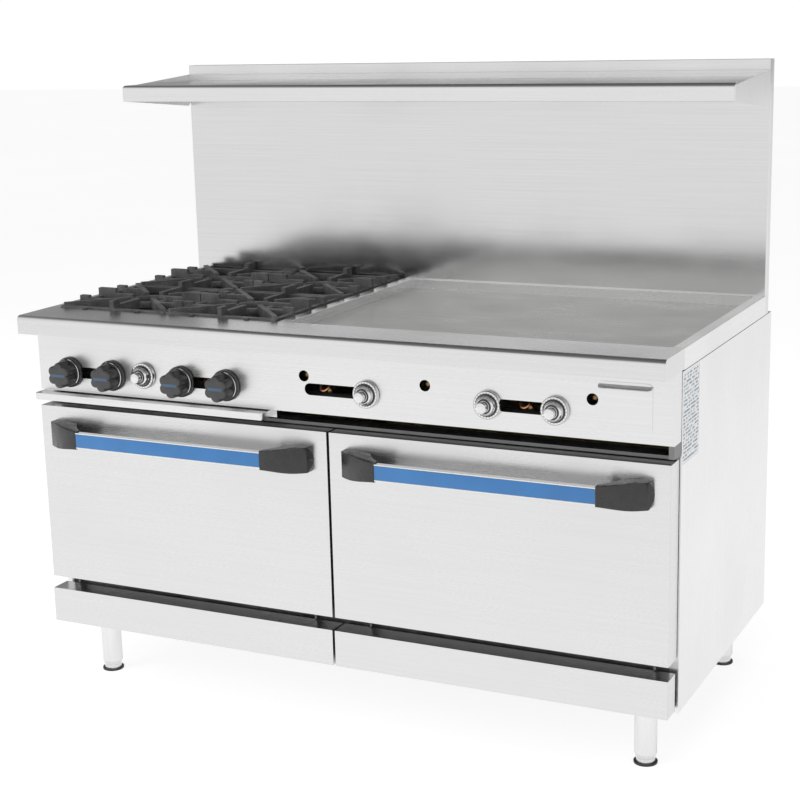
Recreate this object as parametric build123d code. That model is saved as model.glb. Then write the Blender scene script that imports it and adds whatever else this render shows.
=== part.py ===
"""Free-standing commercial gas range: four open burners, a griddle, two ovens and a high shelf.

Millimetres, +Z up. The origin is on the floor, at the middle of the range's footprint. The front
faces -Y and +X is to the right of a cook who faces it. Depths are written as setbacks: distances
behind the front face of the work ledge, which is the foremost face of the range.
"""
from build123d import *
import math
import os

# ---------------------------------------------------------------- overall sizes
WIDTH = 1524.0
DEPTH = 824.0
DECK_HEIGHT = 900.0
RISER_HEIGHT = 530.0
HALF = WIDTH / 2

# ---------------------------------------------------------------- stock and clearances
SHEET = 1.2
LINER_SHEET = 1.5
FRAME_SHEET = 2.0
PANEL_RETURN = 20.0
SIDE_GAP = 4.3
FIT_GAP = 0.1
REACH = 1.0
STEM_CLEARANCE = 0.08
PIN_CLEARANCE = 0.08

# ---------------------------------------------------------------- legs and base frame
LEG_HEIGHT = 141.0
LEG_RADIUS = 24.0
LEG_WALL = 1.6
LEG_INSET = 83.0
FRONT_LEG_SETBACK = 162.0
REAR_LEG_INSET = 60.0
LEG_PLATE_SIZE = 90.0
LEG_PLATE_THICKNESS = 4.0
LEG_PLUG_HEIGHT = 32.0
FOOT_HEIGHT = 23.0
FOOT_FLANGE_RADIUS = 25.5
FOOT_FLANGE_THICKNESS = 4.0
FOOT_NECK_RADIUS = 20.5
FOOT_NECK_TOP = 13.0
FOOT_TOP_RADIUS = 23.4
FOOT_STEM_RADIUS = 9.0
FOOT_STEM_LENGTH = 66.0
FOOT_CLEARANCE = 0.1
BASE_RAIL_HEIGHT = 38.0
BASE_RAIL_WIDTH = 90.0
BASE_SIDE_RAIL_WIDTH = 40.0
BASE_FRAME_GAP = 2.0

# ---------------------------------------------------------------- front, from the floor up
KICK_SETBACK = 54.0
KICK_LEG_OVERHANG = 9.0
KICK_HEIGHT = 82.5
KICK_RETURN = 50.0
KICK_CENTRE_GAP = 5.4
KICK_HOOK_WIDTH = 40.0
KICK_HOOK_DROP = 10.0
DOOR_THICKNESS = 54.0
DOOR_LEG_RISE = 120.0
DOOR_TOP_DROP = 220.0
DOOR_CENTRE_GAP = 6.0
DOOR_FRAME_GAP = 5.0
DOOR_LINER_DEPTH = 20.0
SIDE_SETBACK = 115.0
FRAME_SETBACK = 117.0
FRAME_DEPTH = 25.0
FRAME_SILL_DROP = 4.0
TOP_RAIL_SETBACK = 96.0
TOP_RAIL_HEIGHT = 7.0
TOP_RAIL_GAP = 2.0
RECESS_HEIGHT = 26.5
FILLER_WIDTH = 11.3
PANEL_DEPTH = 45.0
PANEL_SETBACK = 68.0
PANEL_INSET = 1.0
LEDGE_HEIGHT = 42.0
LEDGE_DEPTH = 125.0
LEDGE_EDGE_RADIUS = 10.0
LEDGE_RETURN = 15.0

# ---------------------------------------------------------------- controls
CONTROL_DROP = 89.0
BURNER_KNOB_INSETS = (88.0, 205.0, 391.0, 508.0)
BURNER_KNOB_DROP = 7.0
LEFT_OVEN_KNOB_INSET = 293.0
RIGHT_OVEN_KNOB_INSET = 392.0
GRIDDLE_KNOB_INSETS = (669.0, 246.0)
KNOB_GAP = 2.0
BLACK_SKIRT_RADIUS = 35.0
BLACK_SKIRT_DEPTH = 11.0
BLACK_SKIRT_CHAMFER = 3.0
BLACK_CORE_RADIUS = 23.0
BLACK_GRIP_RADIUS = 31.0
BLACK_GRIP_DEPTH = 36.0
LOBE_RADIUS = 10.0
LOBE_COUNT = 6
CHROME_BEZEL_RADIUS = 30.0
CHROME_BEZEL_DEPTH = 9.0
CHROME_BEZEL_ROUND = 3.0
CHROME_DOME_RADIUS = 24.0
CHROME_DOME_DEPTH = 14.0
CHROME_DOME_ROUND = 7.0
CHROME_GRIP_RADIUS = 11.5
CHROME_GRIP_DEPTH = 16.0
STEM_RADIUS = 4.0
STEM_LENGTH = 41.0
STEM_BORE_DEPTH = 44.0
STEM_HOLE_RADIUS = 9.0
SIGHT_SLOT_HEIGHT = 26.0
SIGHT_SLOT_OVERLAP = 10.0
FREE_SLOT_LENGTH = 150.0
PILOT_HOLE_RADIUS = 12.2
PILOT_HOLE_RISE = 28.0
PILOT_HOLE_INSETS = (820.0, 534.0, 169.0)

# ---------------------------------------------------------------- gas train
PIPE_RADIUS = 13.35
PIPE_WALL = 2.9
MANIFOLD_SETBACK = 112.0
MANIFOLD_END_GAP = 32.0
MANIFOLD_DROP = 28.0
VALVE_RADIUS = 12.0
VALVE_SETBACK = 84.0
VALVE_LENGTH = 56.0
VALVE_LEG_RADIUS = 9.0
VALVE_NOSE_RADIUS = 6.0
VALVE_NOSE_LENGTH = 18.0
THERMOSTAT_SIZE = 42.0
INLET_X = -105.0
INLET_HOLE_GAP = 3.0
INLET_END_GAP = 2.0
INLET_THREAD_RADIUS = 13.1
INLET_THREAD_LENGTH = 22.0

# ---------------------------------------------------------------- cooking top
BURNER_SECTION_WIDTH = 610.0
TRIM_WIDTH = 24.0
TRIM_HEIGHT = 45.0
TRIM_SEAM = 1.0
GUARD_WIDTH = 26.0
BACK_GUARD_WIDTH = 14.0
PLATE_DROP = 23.0
PLATE_THICKNESS = 19.0
TROUGH_WIDTH = 86.0
TROUGH_DEPTH = 39.0
CHUTE_LENGTH = 60.0
CHUTE_WIDTH = 40.0
CHUTE_DROP = 17.0
BURNER_BOX_FRONT_GAP = 12.0
BURNER_BOX_REAR_GAP = 8.0
BURNER_BOX_RISE = 4.0
GRATE_GAP = 2.0
GRATE_BAR = 12.0
GRATE_RIM_HEIGHT = 16.0
GRATE_SEAT_DROP = 12.0
GRATE_FINGER_RISE = 7.0
GRATE_PAD_RISE = 19.0
GRATE_PAD_LENGTH = 50.0
GRATE_LOW_PAD_RISE = 13.0
GRATE_LOW_PAD_LENGTH = 26.0
GRATE_RING_RADIUS = 46.0
GRATE_RING_DROP = 8.0
GRATE_COMB_SHARE = 0.5
LUG_LAP = 6.0
LUG_GAP = 0.4
GRIDDLE_SUPPORT_WIDTH = 25.0
GRIDDLE_SUPPORT_INSET = 20.0
GRIDDLE_BURNER_REAR_GAP = 40.0
GRIDDLE_BURNER_ARM = 90.0
GRIDDLE_BURNER_RADIUS = 13.0
BURNER_HEAD_RADIUS = 56.0
BURNER_HEAD_HEIGHT = 18.0
BURNER_HEAD_DROP = 45.0
BURNER_CAP_RISE = 8.0
VENTURI_RADIUS = 17.0
VENTURI_WALL = 2.5
VENTURI_BORE = VENTURI_RADIUS - VENTURI_WALL
VENTURI_START = 150.0

# ---------------------------------------------------------------- trays
DRAWER_WIDTH = 98.0
DRAWER_FRONT_MARGIN = 6.0
DRAWER_INSET = 100.5
DRAWER_BOX_HEIGHT = 74.0
DRAWER_LENGTH = 400.0
DRAWER_FRONT_HEIGHT = 99.0
DRAWER_BOTTOM_RISE = 27.5
DRAWER_CORNER = 10.0
DRAWER_LIP_DROP = 9.0
DRAWER_LIP_DEPTH = 13.0
DRAWER_LIP_THICKNESS = 2.4
DRAWER_LIP_SLOPE = 30.0
DRAWER_OPENING_GAP = 1.0
DRAWER_TOP_GAP = 12.0
DRAWER_RUNNER_WIDTH = 22.0
DRAWER_RUNNER_THICKNESS = 2.5
RUNNER_GAP = 0.5
TRAY_HEIGHT = 15.5
TRAY_LENGTH = 610.0
TRAY_LIP_SETBACK = 38.0
TRAY_FLANGE_SETBACK = 77.0
TRAY_DROP = 2.7
TRAY_LIP_CORNER = 6.0
TRAY_OVERLAP = 5.0
TRAY_FLANGE_OVERLAP = 20.0
TRAY_RUNNER_WIDTH = 20.0

# ---------------------------------------------------------------- ovens
OVEN_WIDTH = 650.0
OVEN_HEIGHT = 356.0
OVEN_DEPTH = 618.0
OVEN_FLOOR_RISE = 24.0
OVEN_FLOOR_FOLD = 12.0
INSULATION = 21.0
RACK_GUIDE_HEIGHTS = (108.0, 208.0)
RACK_GUIDE_WIDTH = 14.0
RACK_GUIDE_THICKNESS = 3.0
RACK_GUIDE_END_GAP = 10.0
RACK_WIRE_RADIUS = 4.0
RACK_CROSS_RADIUS = 3.5
RACK_BAR_RADIUS = 2.5
RACK_LIFT = 0.3
RACK_BAR_PITCH = 44.0
RACK_MARGIN = 5.0
RACK_FRONT_SETBACK = 200.0
RACK_DEPTH = 530.0
HINGE_SETBACK = 86.0
HINGE_RISE = 9.0
HINGE_INSET = 46.0
HINGE_CENTRE_INSET = 69.0
HINGE_PLATE = 5.0
HINGE_EYE_RADIUS = 9.0
HINGE_TAB_INSET = 14.0
HINGE_TAB_DROP = 35.0
HINGE_BOSS_MARGIN = 15.5
HINGE_PIN_RADIUS = 4.0
HINGE_PIN_LENGTH = 36.0
HINGE_NOTCH_GAP = 2.0
OVEN_BURNER_RADIUS = 19.0
OVEN_BURNER_END_GAP = 30.0

# ---------------------------------------------------------------- door handles
HANDLE_HEIGHT = 618.5
HANDLE_BAR_HALF = 242.0
HANDLE_BAR_HEIGHT = 37.0
HANDLE_BAR_DEPTH = 13.0
HANDLE_STAND_OFF = 57.0
HANDLE_END_REACH = 103.0
HANDLE_END_HEIGHT = 57.0
HANDLE_END_NECK = 42.0
HANDLE_END_FOOT = 68.0
HANDLE_END_TIP = 16.0
HANDLE_END_BULGE = 7.0
STRIP_HEIGHT = 31.0
STRIP_THICKNESS = 0.8

# ---------------------------------------------------------------- riser and high shelf
RISER_REAR_GAP = 27.0
RISER_DEPTH = 35.0
REAR_PANEL_DEPTH = 12.0
LOUVRE_ROWS = 6
LOUVRE_LENGTH = 260.0
LOUVRE_HEIGHT = 8.0
LOUVRE_PITCH = 22.0
LOUVRE_RISE = 60.0
SHELF_DEPTH = 300.0
SHELF_DROP = 38.0
SHELF_LIP = 38.0
SHELF_FLANGE = 15.0
SHELF_EDGE_RADIUS = 10.0
BRACKET_BACK_HEIGHT = 80.0
BRACKET_FOOT = 8.0

# ---------------------------------------------------------------- derived places
LEDGE_BOTTOM = DECK_HEIGHT - LEDGE_HEIGHT
DOOR_TOP = DECK_HEIGHT - DOOR_TOP_DROP
DOOR_BOTTOM = LEG_HEIGHT + DOOR_LEG_RISE
HINGE_HEIGHT = DOOR_BOTTOM + HINGE_RISE
OVEN_FLOOR_HEIGHT = DOOR_BOTTOM + OVEN_FLOOR_RISE
DOOR_SETBACK = FRAME_SETBACK - DOOR_FRAME_GAP - DOOR_THICKNESS
KICK_BOTTOM = LEG_HEIGHT + KICK_LEG_OVERHANG
TOP_RAIL_BOTTOM = DOOR_TOP + TOP_RAIL_GAP
TOP_RAIL_TOP = TOP_RAIL_BOTTOM + TOP_RAIL_HEIGHT
PANEL_BOTTOM = TOP_RAIL_TOP + RECESS_HEIGHT
SIDE_TOP = DECK_HEIGHT - TRIM_HEIGHT
CONTROL_HEIGHT = LEDGE_BOTTOM - CONTROL_DROP
BURNER_HEIGHT = CONTROL_HEIGHT - BURNER_KNOB_DROP
MANIFOLD_HEIGHT = CONTROL_HEIGHT - MANIFOLD_DROP
RISER_TOP = DECK_HEIGHT + RISER_HEIGHT
RISER_BACK = DEPTH - RISER_REAR_GAP
RISER_SETBACK = RISER_BACK - RISER_DEPTH
REAR_LEG_SETBACK = DEPTH - REAR_LEG_INSET
SHELF_HEIGHT = RISER_TOP - SHELF_DROP
BURNER_KNOB_X = tuple(inset - HALF for inset in BURNER_KNOB_INSETS)
GRIDDLE_KNOB_X = tuple(HALF - inset for inset in GRIDDLE_KNOB_INSETS)
OVEN_KNOB_X = (LEFT_OVEN_KNOB_INSET - HALF, HALF - RIGHT_OVEN_KNOB_INSET)
PILOT_HOLE_X = tuple(HALF - inset for inset in PILOT_HOLE_INSETS)
DRAWER_CENTRE_X = HALF - DRAWER_INSET
GRIDDLE_LEFT = -HALF + BURNER_SECTION_WIDTH
PLATE_TOP = DECK_HEIGHT - PLATE_DROP
PLATE_LEFT = GRIDDLE_LEFT + GUARD_WIDTH
PLATE_RIGHT = HALF - TRIM_WIDTH
PLATE_BACK = RISER_SETBACK - BACK_GUARD_WIDTH
TROUGH_SETBACK = LEDGE_DEPTH + BASE_FRAME_GAP
PLATE_FRONT = TROUGH_SETBACK + TROUGH_WIDTH
BURNER_BOX_LEFT = -HALF + TRIM_WIDTH + BASE_FRAME_GAP
BURNER_BOX_RIGHT = GRIDDLE_LEFT - BASE_FRAME_GAP
BURNER_BOX_BACK = RISER_SETBACK - BURNER_BOX_REAR_GAP
GRATE_LEFT = BURNER_BOX_LEFT + GRATE_GAP / 2
GRATE_RIGHT = BURNER_BOX_RIGHT - GRATE_GAP
GRATE_SIZE_Y = (BURNER_BOX_BACK - LINER_SHEET - LEDGE_DEPTH) / 2 - 1.5 * GRATE_GAP
GRATE_WIDTH = (GRATE_RIGHT - GRATE_LEFT - GRATE_GAP) / 2
GRATE_SEAT = DECK_HEIGHT - GRATE_SEAT_DROP
DOOR_WIDTH = HALF - SIDE_GAP - DOOR_CENTRE_GAP / 2
DOOR_CENTRE = DOOR_CENTRE_GAP / 2 + DOOR_WIDTH / 2
OVEN_FRONT = FRAME_SETBACK + FRAME_DEPTH
OVEN_BACK = OVEN_FRONT + OVEN_DEPTH
OVEN_TOP = OVEN_FLOOR_HEIGHT + OVEN_HEIGHT
BASE_BOTTOM = LEG_HEIGHT + FRAME_SHEET
BASE_TOP = BASE_BOTTOM + BASE_RAIL_HEIGHT
DRAWER_BOTTOM = PANEL_BOTTOM + DRAWER_BOTTOM_RISE
TRAY_TOP = PANEL_BOTTOM - TRAY_DROP
LEG_X = HALF - LEG_INSET
SIDES = {"left": -1, "right": 1}
ENDS = {"front": FRONT_LEG_SETBACK, "rear": REAR_LEG_SETBACK}


# ---------------------------------------------------------------- shape helpers
def block(x, y, z):
    """A box from its low and high value on each axis; y holds setbacks."""
    spans = [sorted(span) for span in (x, y, z)]
    sizes = [high - low for low, high in spans]
    middles = [(low + high) / 2 for low, high in spans]
    return Pos(middles[0], middles[1] - DEPTH / 2, middles[2]) * Box(*sizes)


def folded(x, y, z, wall, open_side):
    """A folded sheet: a box of one wall thickness, open on one side such as '+y'."""
    spans = [sorted(span) for span in (x, y, z)]
    inner = [[low + wall, high - wall] for low, high in spans]
    axis = "xyz".index(open_side[1])
    if open_side[0] == "+":
        inner[axis][1] = spans[axis][1] + REACH
    else:
        inner[axis][0] = spans[axis][0] - REACH
    return block(*spans) - block(*inner)


def rod_x(y, z, radius, x0, x1):
    return Pos((x0 + x1) / 2, y - DEPTH / 2, z) * Rot(0, 90, 0) * Cylinder(radius, abs(x1 - x0))


def rod_y(x, z, radius, y0, y1):
    return Pos(x, (y0 + y1) / 2 - DEPTH / 2, z) * Rot(90, 0, 0) * Cylinder(radius, abs(y1 - y0))


def rod_z(x, y, radius, z0, z1):
    return Pos(x, y - DEPTH / 2, (z0 + z1) / 2) * Cylinder(radius, abs(z1 - z0))


def spread(middle, size):
    """The low and high value of a span about its middle."""
    return (middle - size / 2, middle + size / 2)


def group(pieces):
    """Separate solids that share one node."""
    solids = []
    for piece in pieces:
        solids.extend(piece.solids())
    return Compound(children=solids)


# ---------------------------------------------------------------- legs and base
def leg_tubes():
    legs = []
    for side in SIDES.values():
        for setback in ENDS.values():
            x = side * LEG_X
            top = LEG_HEIGHT - LEG_PLATE_THICKNESS
            tube = rod_z(x, setback, LEG_RADIUS, FOOT_HEIGHT, top)
            bore = rod_z(x, setback, LEG_RADIUS - LEG_WALL, FOOT_HEIGHT - REACH, top - LEG_WALL)
            plug_z = (FOOT_HEIGHT, FOOT_HEIGHT + LEG_PLUG_HEIGHT)
            plug = rod_z(x, setback, LEG_RADIUS - LEG_WALL / 2, *plug_z)
            thread = rod_z(x, setback, FOOT_STEM_RADIUS + FOOT_CLEARANCE,
                           plug_z[0] - REACH, plug_z[1] + REACH)
            plate = block(spread(x, LEG_PLATE_SIZE), spread(setback, LEG_PLATE_SIZE), (top, LEG_HEIGHT))
            legs.append(tube - bore + plug - thread + plate)
    return group(legs)


def foot(side, setback):
    """A levelling foot: floor flange, neck, cone and the screw that runs up into the leg."""
    x = side * LEG_X
    cone_top = FOOT_HEIGHT - FIT_GAP
    flange = rod_z(x, setback, FOOT_FLANGE_RADIUS, 0, FOOT_FLANGE_THICKNESS)
    neck = rod_z(x, setback, FOOT_NECK_RADIUS, FOOT_FLANGE_THICKNESS, FOOT_NECK_TOP)
    cone = Cone(FOOT_NECK_RADIUS, FOOT_TOP_RADIUS, cone_top - FOOT_NECK_TOP)
    cone = Pos(x, setback - DEPTH / 2, (FOOT_NECK_TOP + cone_top) / 2) * cone
    stem = rod_z(x, setback, FOOT_STEM_RADIUS, cone_top, cone_top + FOOT_STEM_LENGTH)
    return flange + neck + cone + stem


def base_frame():
    """Channels round the bottom, leg pads and the pans that close the underside."""
    z = (BASE_BOTTOM, BASE_TOP)
    edge = HALF - SIDE_GAP
    front = spread(FRONT_LEG_SETBACK, BASE_RAIL_WIDTH)
    rear = spread(REAR_LEG_SETBACK, BASE_RAIL_WIDTH)
    between = (front[1], rear[0])
    rails = [folded((-edge, edge), span, z, FRAME_SHEET, "-z") for span in (front, rear)]
    for middle in (-edge + BASE_SIDE_RAIL_WIDTH / 2, 0, edge - BASE_SIDE_RAIL_WIDTH / 2):
        rails.append(folded(spread(middle, BASE_SIDE_RAIL_WIDTH), between, z, FRAME_SHEET, "-z"))
    for side in SIDES.values():
        pan_x = (side * BASE_SIDE_RAIL_WIDTH / 2, side * (edge - BASE_SIDE_RAIL_WIDTH))
        rails.append(block(pan_x, between, (BASE_TOP - SHEET, BASE_TOP)))
        for setback in ENDS.values():
            pad = block(spread(side * LEG_X, LEG_PLATE_SIZE), spread(setback, LEG_PLATE_SIZE),
                        (LEG_HEIGHT, BASE_BOTTOM))
            rails.append(pad)
    return group(rails)


# ---------------------------------------------------------------- cabinet
def side_panel(side):
    x = (side * (HALF - PANEL_RETURN), side * HALF)
    open_side = "-x" if side > 0 else "+x"
    return folded(x, (SIDE_SETBACK, DEPTH), (LEG_HEIGHT, SIDE_TOP), SHEET, open_side)


def rear_panel():
    """The rear cover, with louvres behind each oven and a hole for the gas inlet."""
    edge = HALF - SIDE_GAP
    span = (RISER_BACK - REAR_PANEL_DEPTH, RISER_BACK)
    z = (BASE_TOP + BASE_FRAME_GAP, SIDE_TOP - BASE_FRAME_GAP)
    panel = folded((-edge, edge), span, z, SHEET, "-y")
    through = (RISER_BACK - 2 * SHEET, RISER_BACK + REACH)
    panel -= rod_y(INLET_X, MANIFOLD_HEIGHT, PIPE_RADIUS + INLET_HOLE_GAP, *through)
    for side in SIDES.values():
        for row in range(LOUVRE_ROWS):
            height = BASE_TOP + LOUVRE_RISE + LOUVRE_PITCH * row
            louvre_x = spread(side * DOOR_CENTRE, LOUVRE_LENGTH)
            panel -= block(louvre_x, through, (height, height + LOUVRE_HEIGHT))
    return panel


def front_frame():
    """Posts and rails round the two oven openings, welded edge to edge."""
    edge = HALF - SIDE_GAP
    face = (FRAME_SETBACK, FRAME_SETBACK + FRAME_DEPTH)
    bottom = BASE_TOP + BASE_FRAME_GAP
    opening_inner = DOOR_CENTRE - OVEN_WIDTH / 2
    opening_outer = DOOR_CENTRE + OVEN_WIDTH / 2
    sill = OVEN_FLOOR_HEIGHT - FRAME_SILL_DROP
    upright = (bottom, TOP_RAIL_BOTTOM)
    pieces = [folded((-opening_inner, opening_inner), face, upright, FRAME_SHEET, "+y")]
    for side in SIDES.values():
        pieces.append(folded((side * opening_outer, side * edge), face, upright, FRAME_SHEET, "+y"))
        across = (side * opening_inner, side * opening_outer)
        pieces.append(folded(across, face, (bottom, sill), FRAME_SHEET, "+y"))
        pieces.append(folded(across, face, (OVEN_TOP, TOP_RAIL_BOTTOM), FRAME_SHEET, "+y"))
    rail_z = (TOP_RAIL_BOTTOM, TOP_RAIL_TOP)
    top_rail = folded((-edge, edge), (TOP_RAIL_SETBACK, face[1]), rail_z, FRAME_SHEET, "+y")
    for side in SIDES.values():
        notch_x = (side * (HALF - PANEL_RETURN - FIT_GAP), side * HALF)
        top_rail -= block(notch_x, (SIDE_SETBACK, face[1] + REACH), (rail_z[0] - REACH, rail_z[1] + REACH))
    pieces.append(top_rail)
    filler_x = (HALF - PANEL_INSET - FILLER_WIDTH, HALF - PANEL_INSET)
    filler_z = (TOP_RAIL_TOP, PANEL_BOTTOM)
    pieces.append(folded(filler_x, (PANEL_SETBACK, PANEL_SETBACK + PANEL_DEPTH), filler_z, SHEET, "-x"))
    return group(pieces)


def axis_height(x):
    """Height of the stem at x: the open burners' valves sit a little lower than the rest."""
    return BURNER_HEIGHT if x in BURNER_KNOB_X else CONTROL_HEIGHT


def rounded_slot(x0, x1, height, through):
    """The cutter of a round-ended sight slot through the control panel."""
    radius = SIGHT_SLOT_HEIGHT / 2
    cutter = block((x0 + radius, x1 - radius), through, spread(height, SIGHT_SLOT_HEIGHT))
    for x in (x0 + radius, x1 - radius):
        cutter += rod_y(x, height, radius, *through)
    return cutter


def sight_slots():
    """Ends and height of each sight slot, tied to the knobs beside it."""
    knobs = BURNER_KNOB_X
    inset = STEM_HOLE_RADIUS + SIGHT_SLOT_OVERLAP
    pairs = [(knobs[0], knobs[1]), (knobs[2], knobs[3]), (OVEN_KNOB_X[1], GRIDDLE_KNOB_X[1])]
    slots = [(left + inset, right - inset, axis_height(left)) for left, right in pairs]
    slots.append((GRIDDLE_KNOB_X[0] - FREE_SLOT_LENGTH, GRIDDLE_KNOB_X[0] - inset, CONTROL_HEIGHT))
    return slots


def control_panel():
    edge = HALF - PANEL_INSET
    span = (PANEL_SETBACK, PANEL_SETBACK + PANEL_DEPTH)
    panel = folded((-edge, edge), span, (PANEL_BOTTOM, LEDGE_BOTTOM), SHEET, "+y")
    through = (PANEL_SETBACK - REACH, PANEL_SETBACK + 2 * SHEET)
    for x in BURNER_KNOB_X + OVEN_KNOB_X + GRIDDLE_KNOB_X:
        panel -= rod_y(x, axis_height(x), STEM_HOLE_RADIUS, *through)
    for x in PILOT_HOLE_X:
        panel -= rod_y(x, CONTROL_HEIGHT + PILOT_HOLE_RISE, PILOT_HOLE_RADIUS, *through)
    for x0, x1, height in sight_slots():
        panel -= rounded_slot(x0, x1, height, through)
    opening_x = spread(DRAWER_CENTRE_X, DRAWER_WIDTH + 2 * DRAWER_OPENING_GAP)
    opening_z = (DRAWER_BOTTOM - DRAWER_OPENING_GAP, DRAWER_BOTTOM + DRAWER_BOX_HEIGHT + DRAWER_TOP_GAP)
    panel -= block(opening_x, through, opening_z)
    return panel


def front_ledge():
    """The work ledge: a folded sheet with a rounded front edge and closed ends."""
    z = (LEDGE_BOTTOM, DECK_HEIGHT)
    outer = block((-HALF, HALF), (0, LEDGE_DEPTH), z)
    front = outer.edges().filter_by(Axis.X).sort_by(Axis.Y)[:2].sort_by(Axis.Z)[-1]
    outer = fillet(front, LEDGE_EDGE_RADIUS)
    inner = block((-HALF + SHEET, HALF - SHEET), (SHEET, LEDGE_DEPTH + REACH),
                  (LEDGE_BOTTOM + SHEET, DECK_HEIGHT - SHEET))
    inner_front = inner.edges().filter_by(Axis.X).sort_by(Axis.Y)[:2].sort_by(Axis.Z)[-1]
    inner = fillet(inner_front, LEDGE_EDGE_RADIUS - SHEET)
    floor_cut = block((-HALF + SHEET, HALF - SHEET), (LEDGE_RETURN, LEDGE_DEPTH + REACH),
                      (LEDGE_BOTTOM - REACH, LEDGE_BOTTOM + 2 * SHEET))
    return outer - inner - floor_cut


def kick_plate(side):
    """A lift-off plate below a door, with two hooks that rest on the base frame."""
    x = (side * KICK_CENTRE_GAP / 2, side * (HALF - SIDE_GAP))
    y = (KICK_SETBACK, KICK_SETBACK + KICK_RETURN)
    plate = folded(x, y, (KICK_BOTTOM, KICK_BOTTOM + KICK_HEIGHT), SHEET, "+y")
    hook_end = FRONT_LEG_SETBACK - BASE_RAIL_WIDTH / 2
    hook_bottom = BASE_TOP - KICK_HOOK_DROP
    for middle in (LEG_X / 4, LEG_X * 3 / 4):
        plate += block(spread(side * middle, KICK_HOOK_WIDTH), (KICK_SETBACK + SHEET, hook_end),
                       (hook_bottom, hook_bottom + FRAME_SHEET))
    return plate


# ---------------------------------------------------------------- cooking top
def top_trims():
    trims = []
    for side in SIDES.values():
        x = (side * (HALF - TRIM_WIDTH), side * HALF)
        z = (SIDE_TOP + TRIM_SEAM, DECK_HEIGHT)
        trims.append(folded(x, (LEDGE_DEPTH, RISER_SETBACK), z, SHEET, "-z"))
    return group(trims)


def griddle_guards():
    z = (SIDE_TOP, DECK_HEIGHT)
    left = folded((GRIDDLE_LEFT, PLATE_LEFT), (TROUGH_SETBACK, PLATE_BACK), z, SHEET, "-z")
    back = folded((GRIDDLE_LEFT, PLATE_RIGHT), (PLATE_BACK, RISER_SETBACK), z, SHEET, "-z")
    return group([left, back])


def griddle_plate():
    z = (PLATE_TOP - PLATE_THICKNESS, PLATE_TOP)
    return block((PLATE_LEFT, PLATE_RIGHT), (PLATE_FRONT, PLATE_BACK), z)


def griddle_supports():
    top = PLATE_TOP - PLATE_THICKNESS
    x = (PLATE_LEFT + REACH, PLATE_RIGHT - REACH)
    z = (top - GRIDDLE_SUPPORT_WIDTH, top)
    bars = []
    for middle in (PLATE_FRONT + GRIDDLE_SUPPORT_INSET, PLATE_BACK - GRIDDLE_SUPPORT_INSET):
        bars.append(folded(x, spread(middle, GRIDDLE_SUPPORT_WIDTH), z, FRAME_SHEET, "-z"))
    return group(bars)


def grease_trough():
    z = (PLATE_TOP - TROUGH_DEPTH, PLATE_TOP)
    y = (TROUGH_SETBACK, PLATE_FRONT)
    trough = folded((PLATE_LEFT, PLATE_RIGHT), y, z, LINER_SHEET, "+z")
    chute_y = sum(y) / 2
    outer = block(spread(DRAWER_CENTRE_X, CHUTE_LENGTH), spread(chute_y, CHUTE_WIDTH),
                  (z[0] - CHUTE_DROP, z[0] + LINER_SHEET))
    bore = block(spread(DRAWER_CENTRE_X, CHUTE_LENGTH - 2 * LINER_SHEET),
                 spread(chute_y, CHUTE_WIDTH - 2 * LINER_SHEET),
                 (z[0] - CHUTE_DROP - REACH, z[0] + LINER_SHEET + REACH))
    return trough + outer - bore


def griddle_burners():
    """A tube burner under the plate for each griddle knob, with a cross arm on each side."""
    burners = []
    end = PLATE_BACK - GRIDDLE_BURNER_REAR_GAP
    cross_y = (PLATE_FRONT + PLATE_BACK) / 2
    for x in GRIDDLE_KNOB_X:
        tube = rod_y(x, CONTROL_HEIGHT, VENTURI_RADIUS, VENTURI_START, end)
        bore = rod_y(x, CONTROL_HEIGHT, VENTURI_BORE, VENTURI_START - REACH, end - VENTURI_RADIUS)
        burners.append(tube - bore)
        for side in SIDES.values():
            arm = rod_x(cross_y, CONTROL_HEIGHT, GRIDDLE_BURNER_RADIUS, x, x + side * GRIDDLE_BURNER_ARM)
            burners.append(arm - tube)
    return group(burners)


def burner_box():
    """Side, rear and cross members under the grates, and the runners of the crumb tray."""
    z = (PANEL_BOTTOM + BURNER_BOX_RISE, GRATE_SEAT)
    y = (SIDE_SETBACK + BURNER_BOX_FRONT_GAP, BURNER_BOX_BACK)
    inside = (BURNER_BOX_LEFT, BURNER_BOX_RIGHT)
    pieces = [block((inside[0] - LINER_SHEET, inside[0]), y, z)]
    pieces.append(block((inside[1], inside[1] + LINER_SHEET), y, z))
    pieces.append(block(inside, (y[1] - LINER_SHEET, y[1]), z))
    half_bar = GRATE_BAR / 2
    seat_z = (GRATE_SEAT - half_bar, GRATE_SEAT)
    for setback in (y[0] + half_bar, (y[0] + y[1]) / 2, y[1] - LINER_SHEET - half_bar):
        pieces.append(block(inside, spread(setback, GRATE_BAR), seat_z))
    runner_top = TRAY_TOP - TRAY_HEIGHT - RUNNER_GAP
    runner_z = (runner_top - LINER_SHEET, runner_top)
    for x in (inside[0] + TRAY_RUNNER_WIDTH / 2, inside[1] - TRAY_RUNNER_WIDTH / 2):
        pieces.append(block(spread(x, TRAY_RUNNER_WIDTH), (OVEN_FRONT + BASE_FRAME_GAP, y[1]), runner_z))
    return group(pieces)


def grate_span(column, row):
    """Low and high x and setback of one grate."""
    x0 = GRATE_LEFT + column * (GRATE_WIDTH + GRATE_GAP)
    y0 = LEDGE_DEPTH + GRATE_GAP + row * (GRATE_SIZE_Y + GRATE_GAP)
    return (x0, x0 + GRATE_WIDTH), (y0, y0 + GRATE_SIZE_Y)


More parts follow.
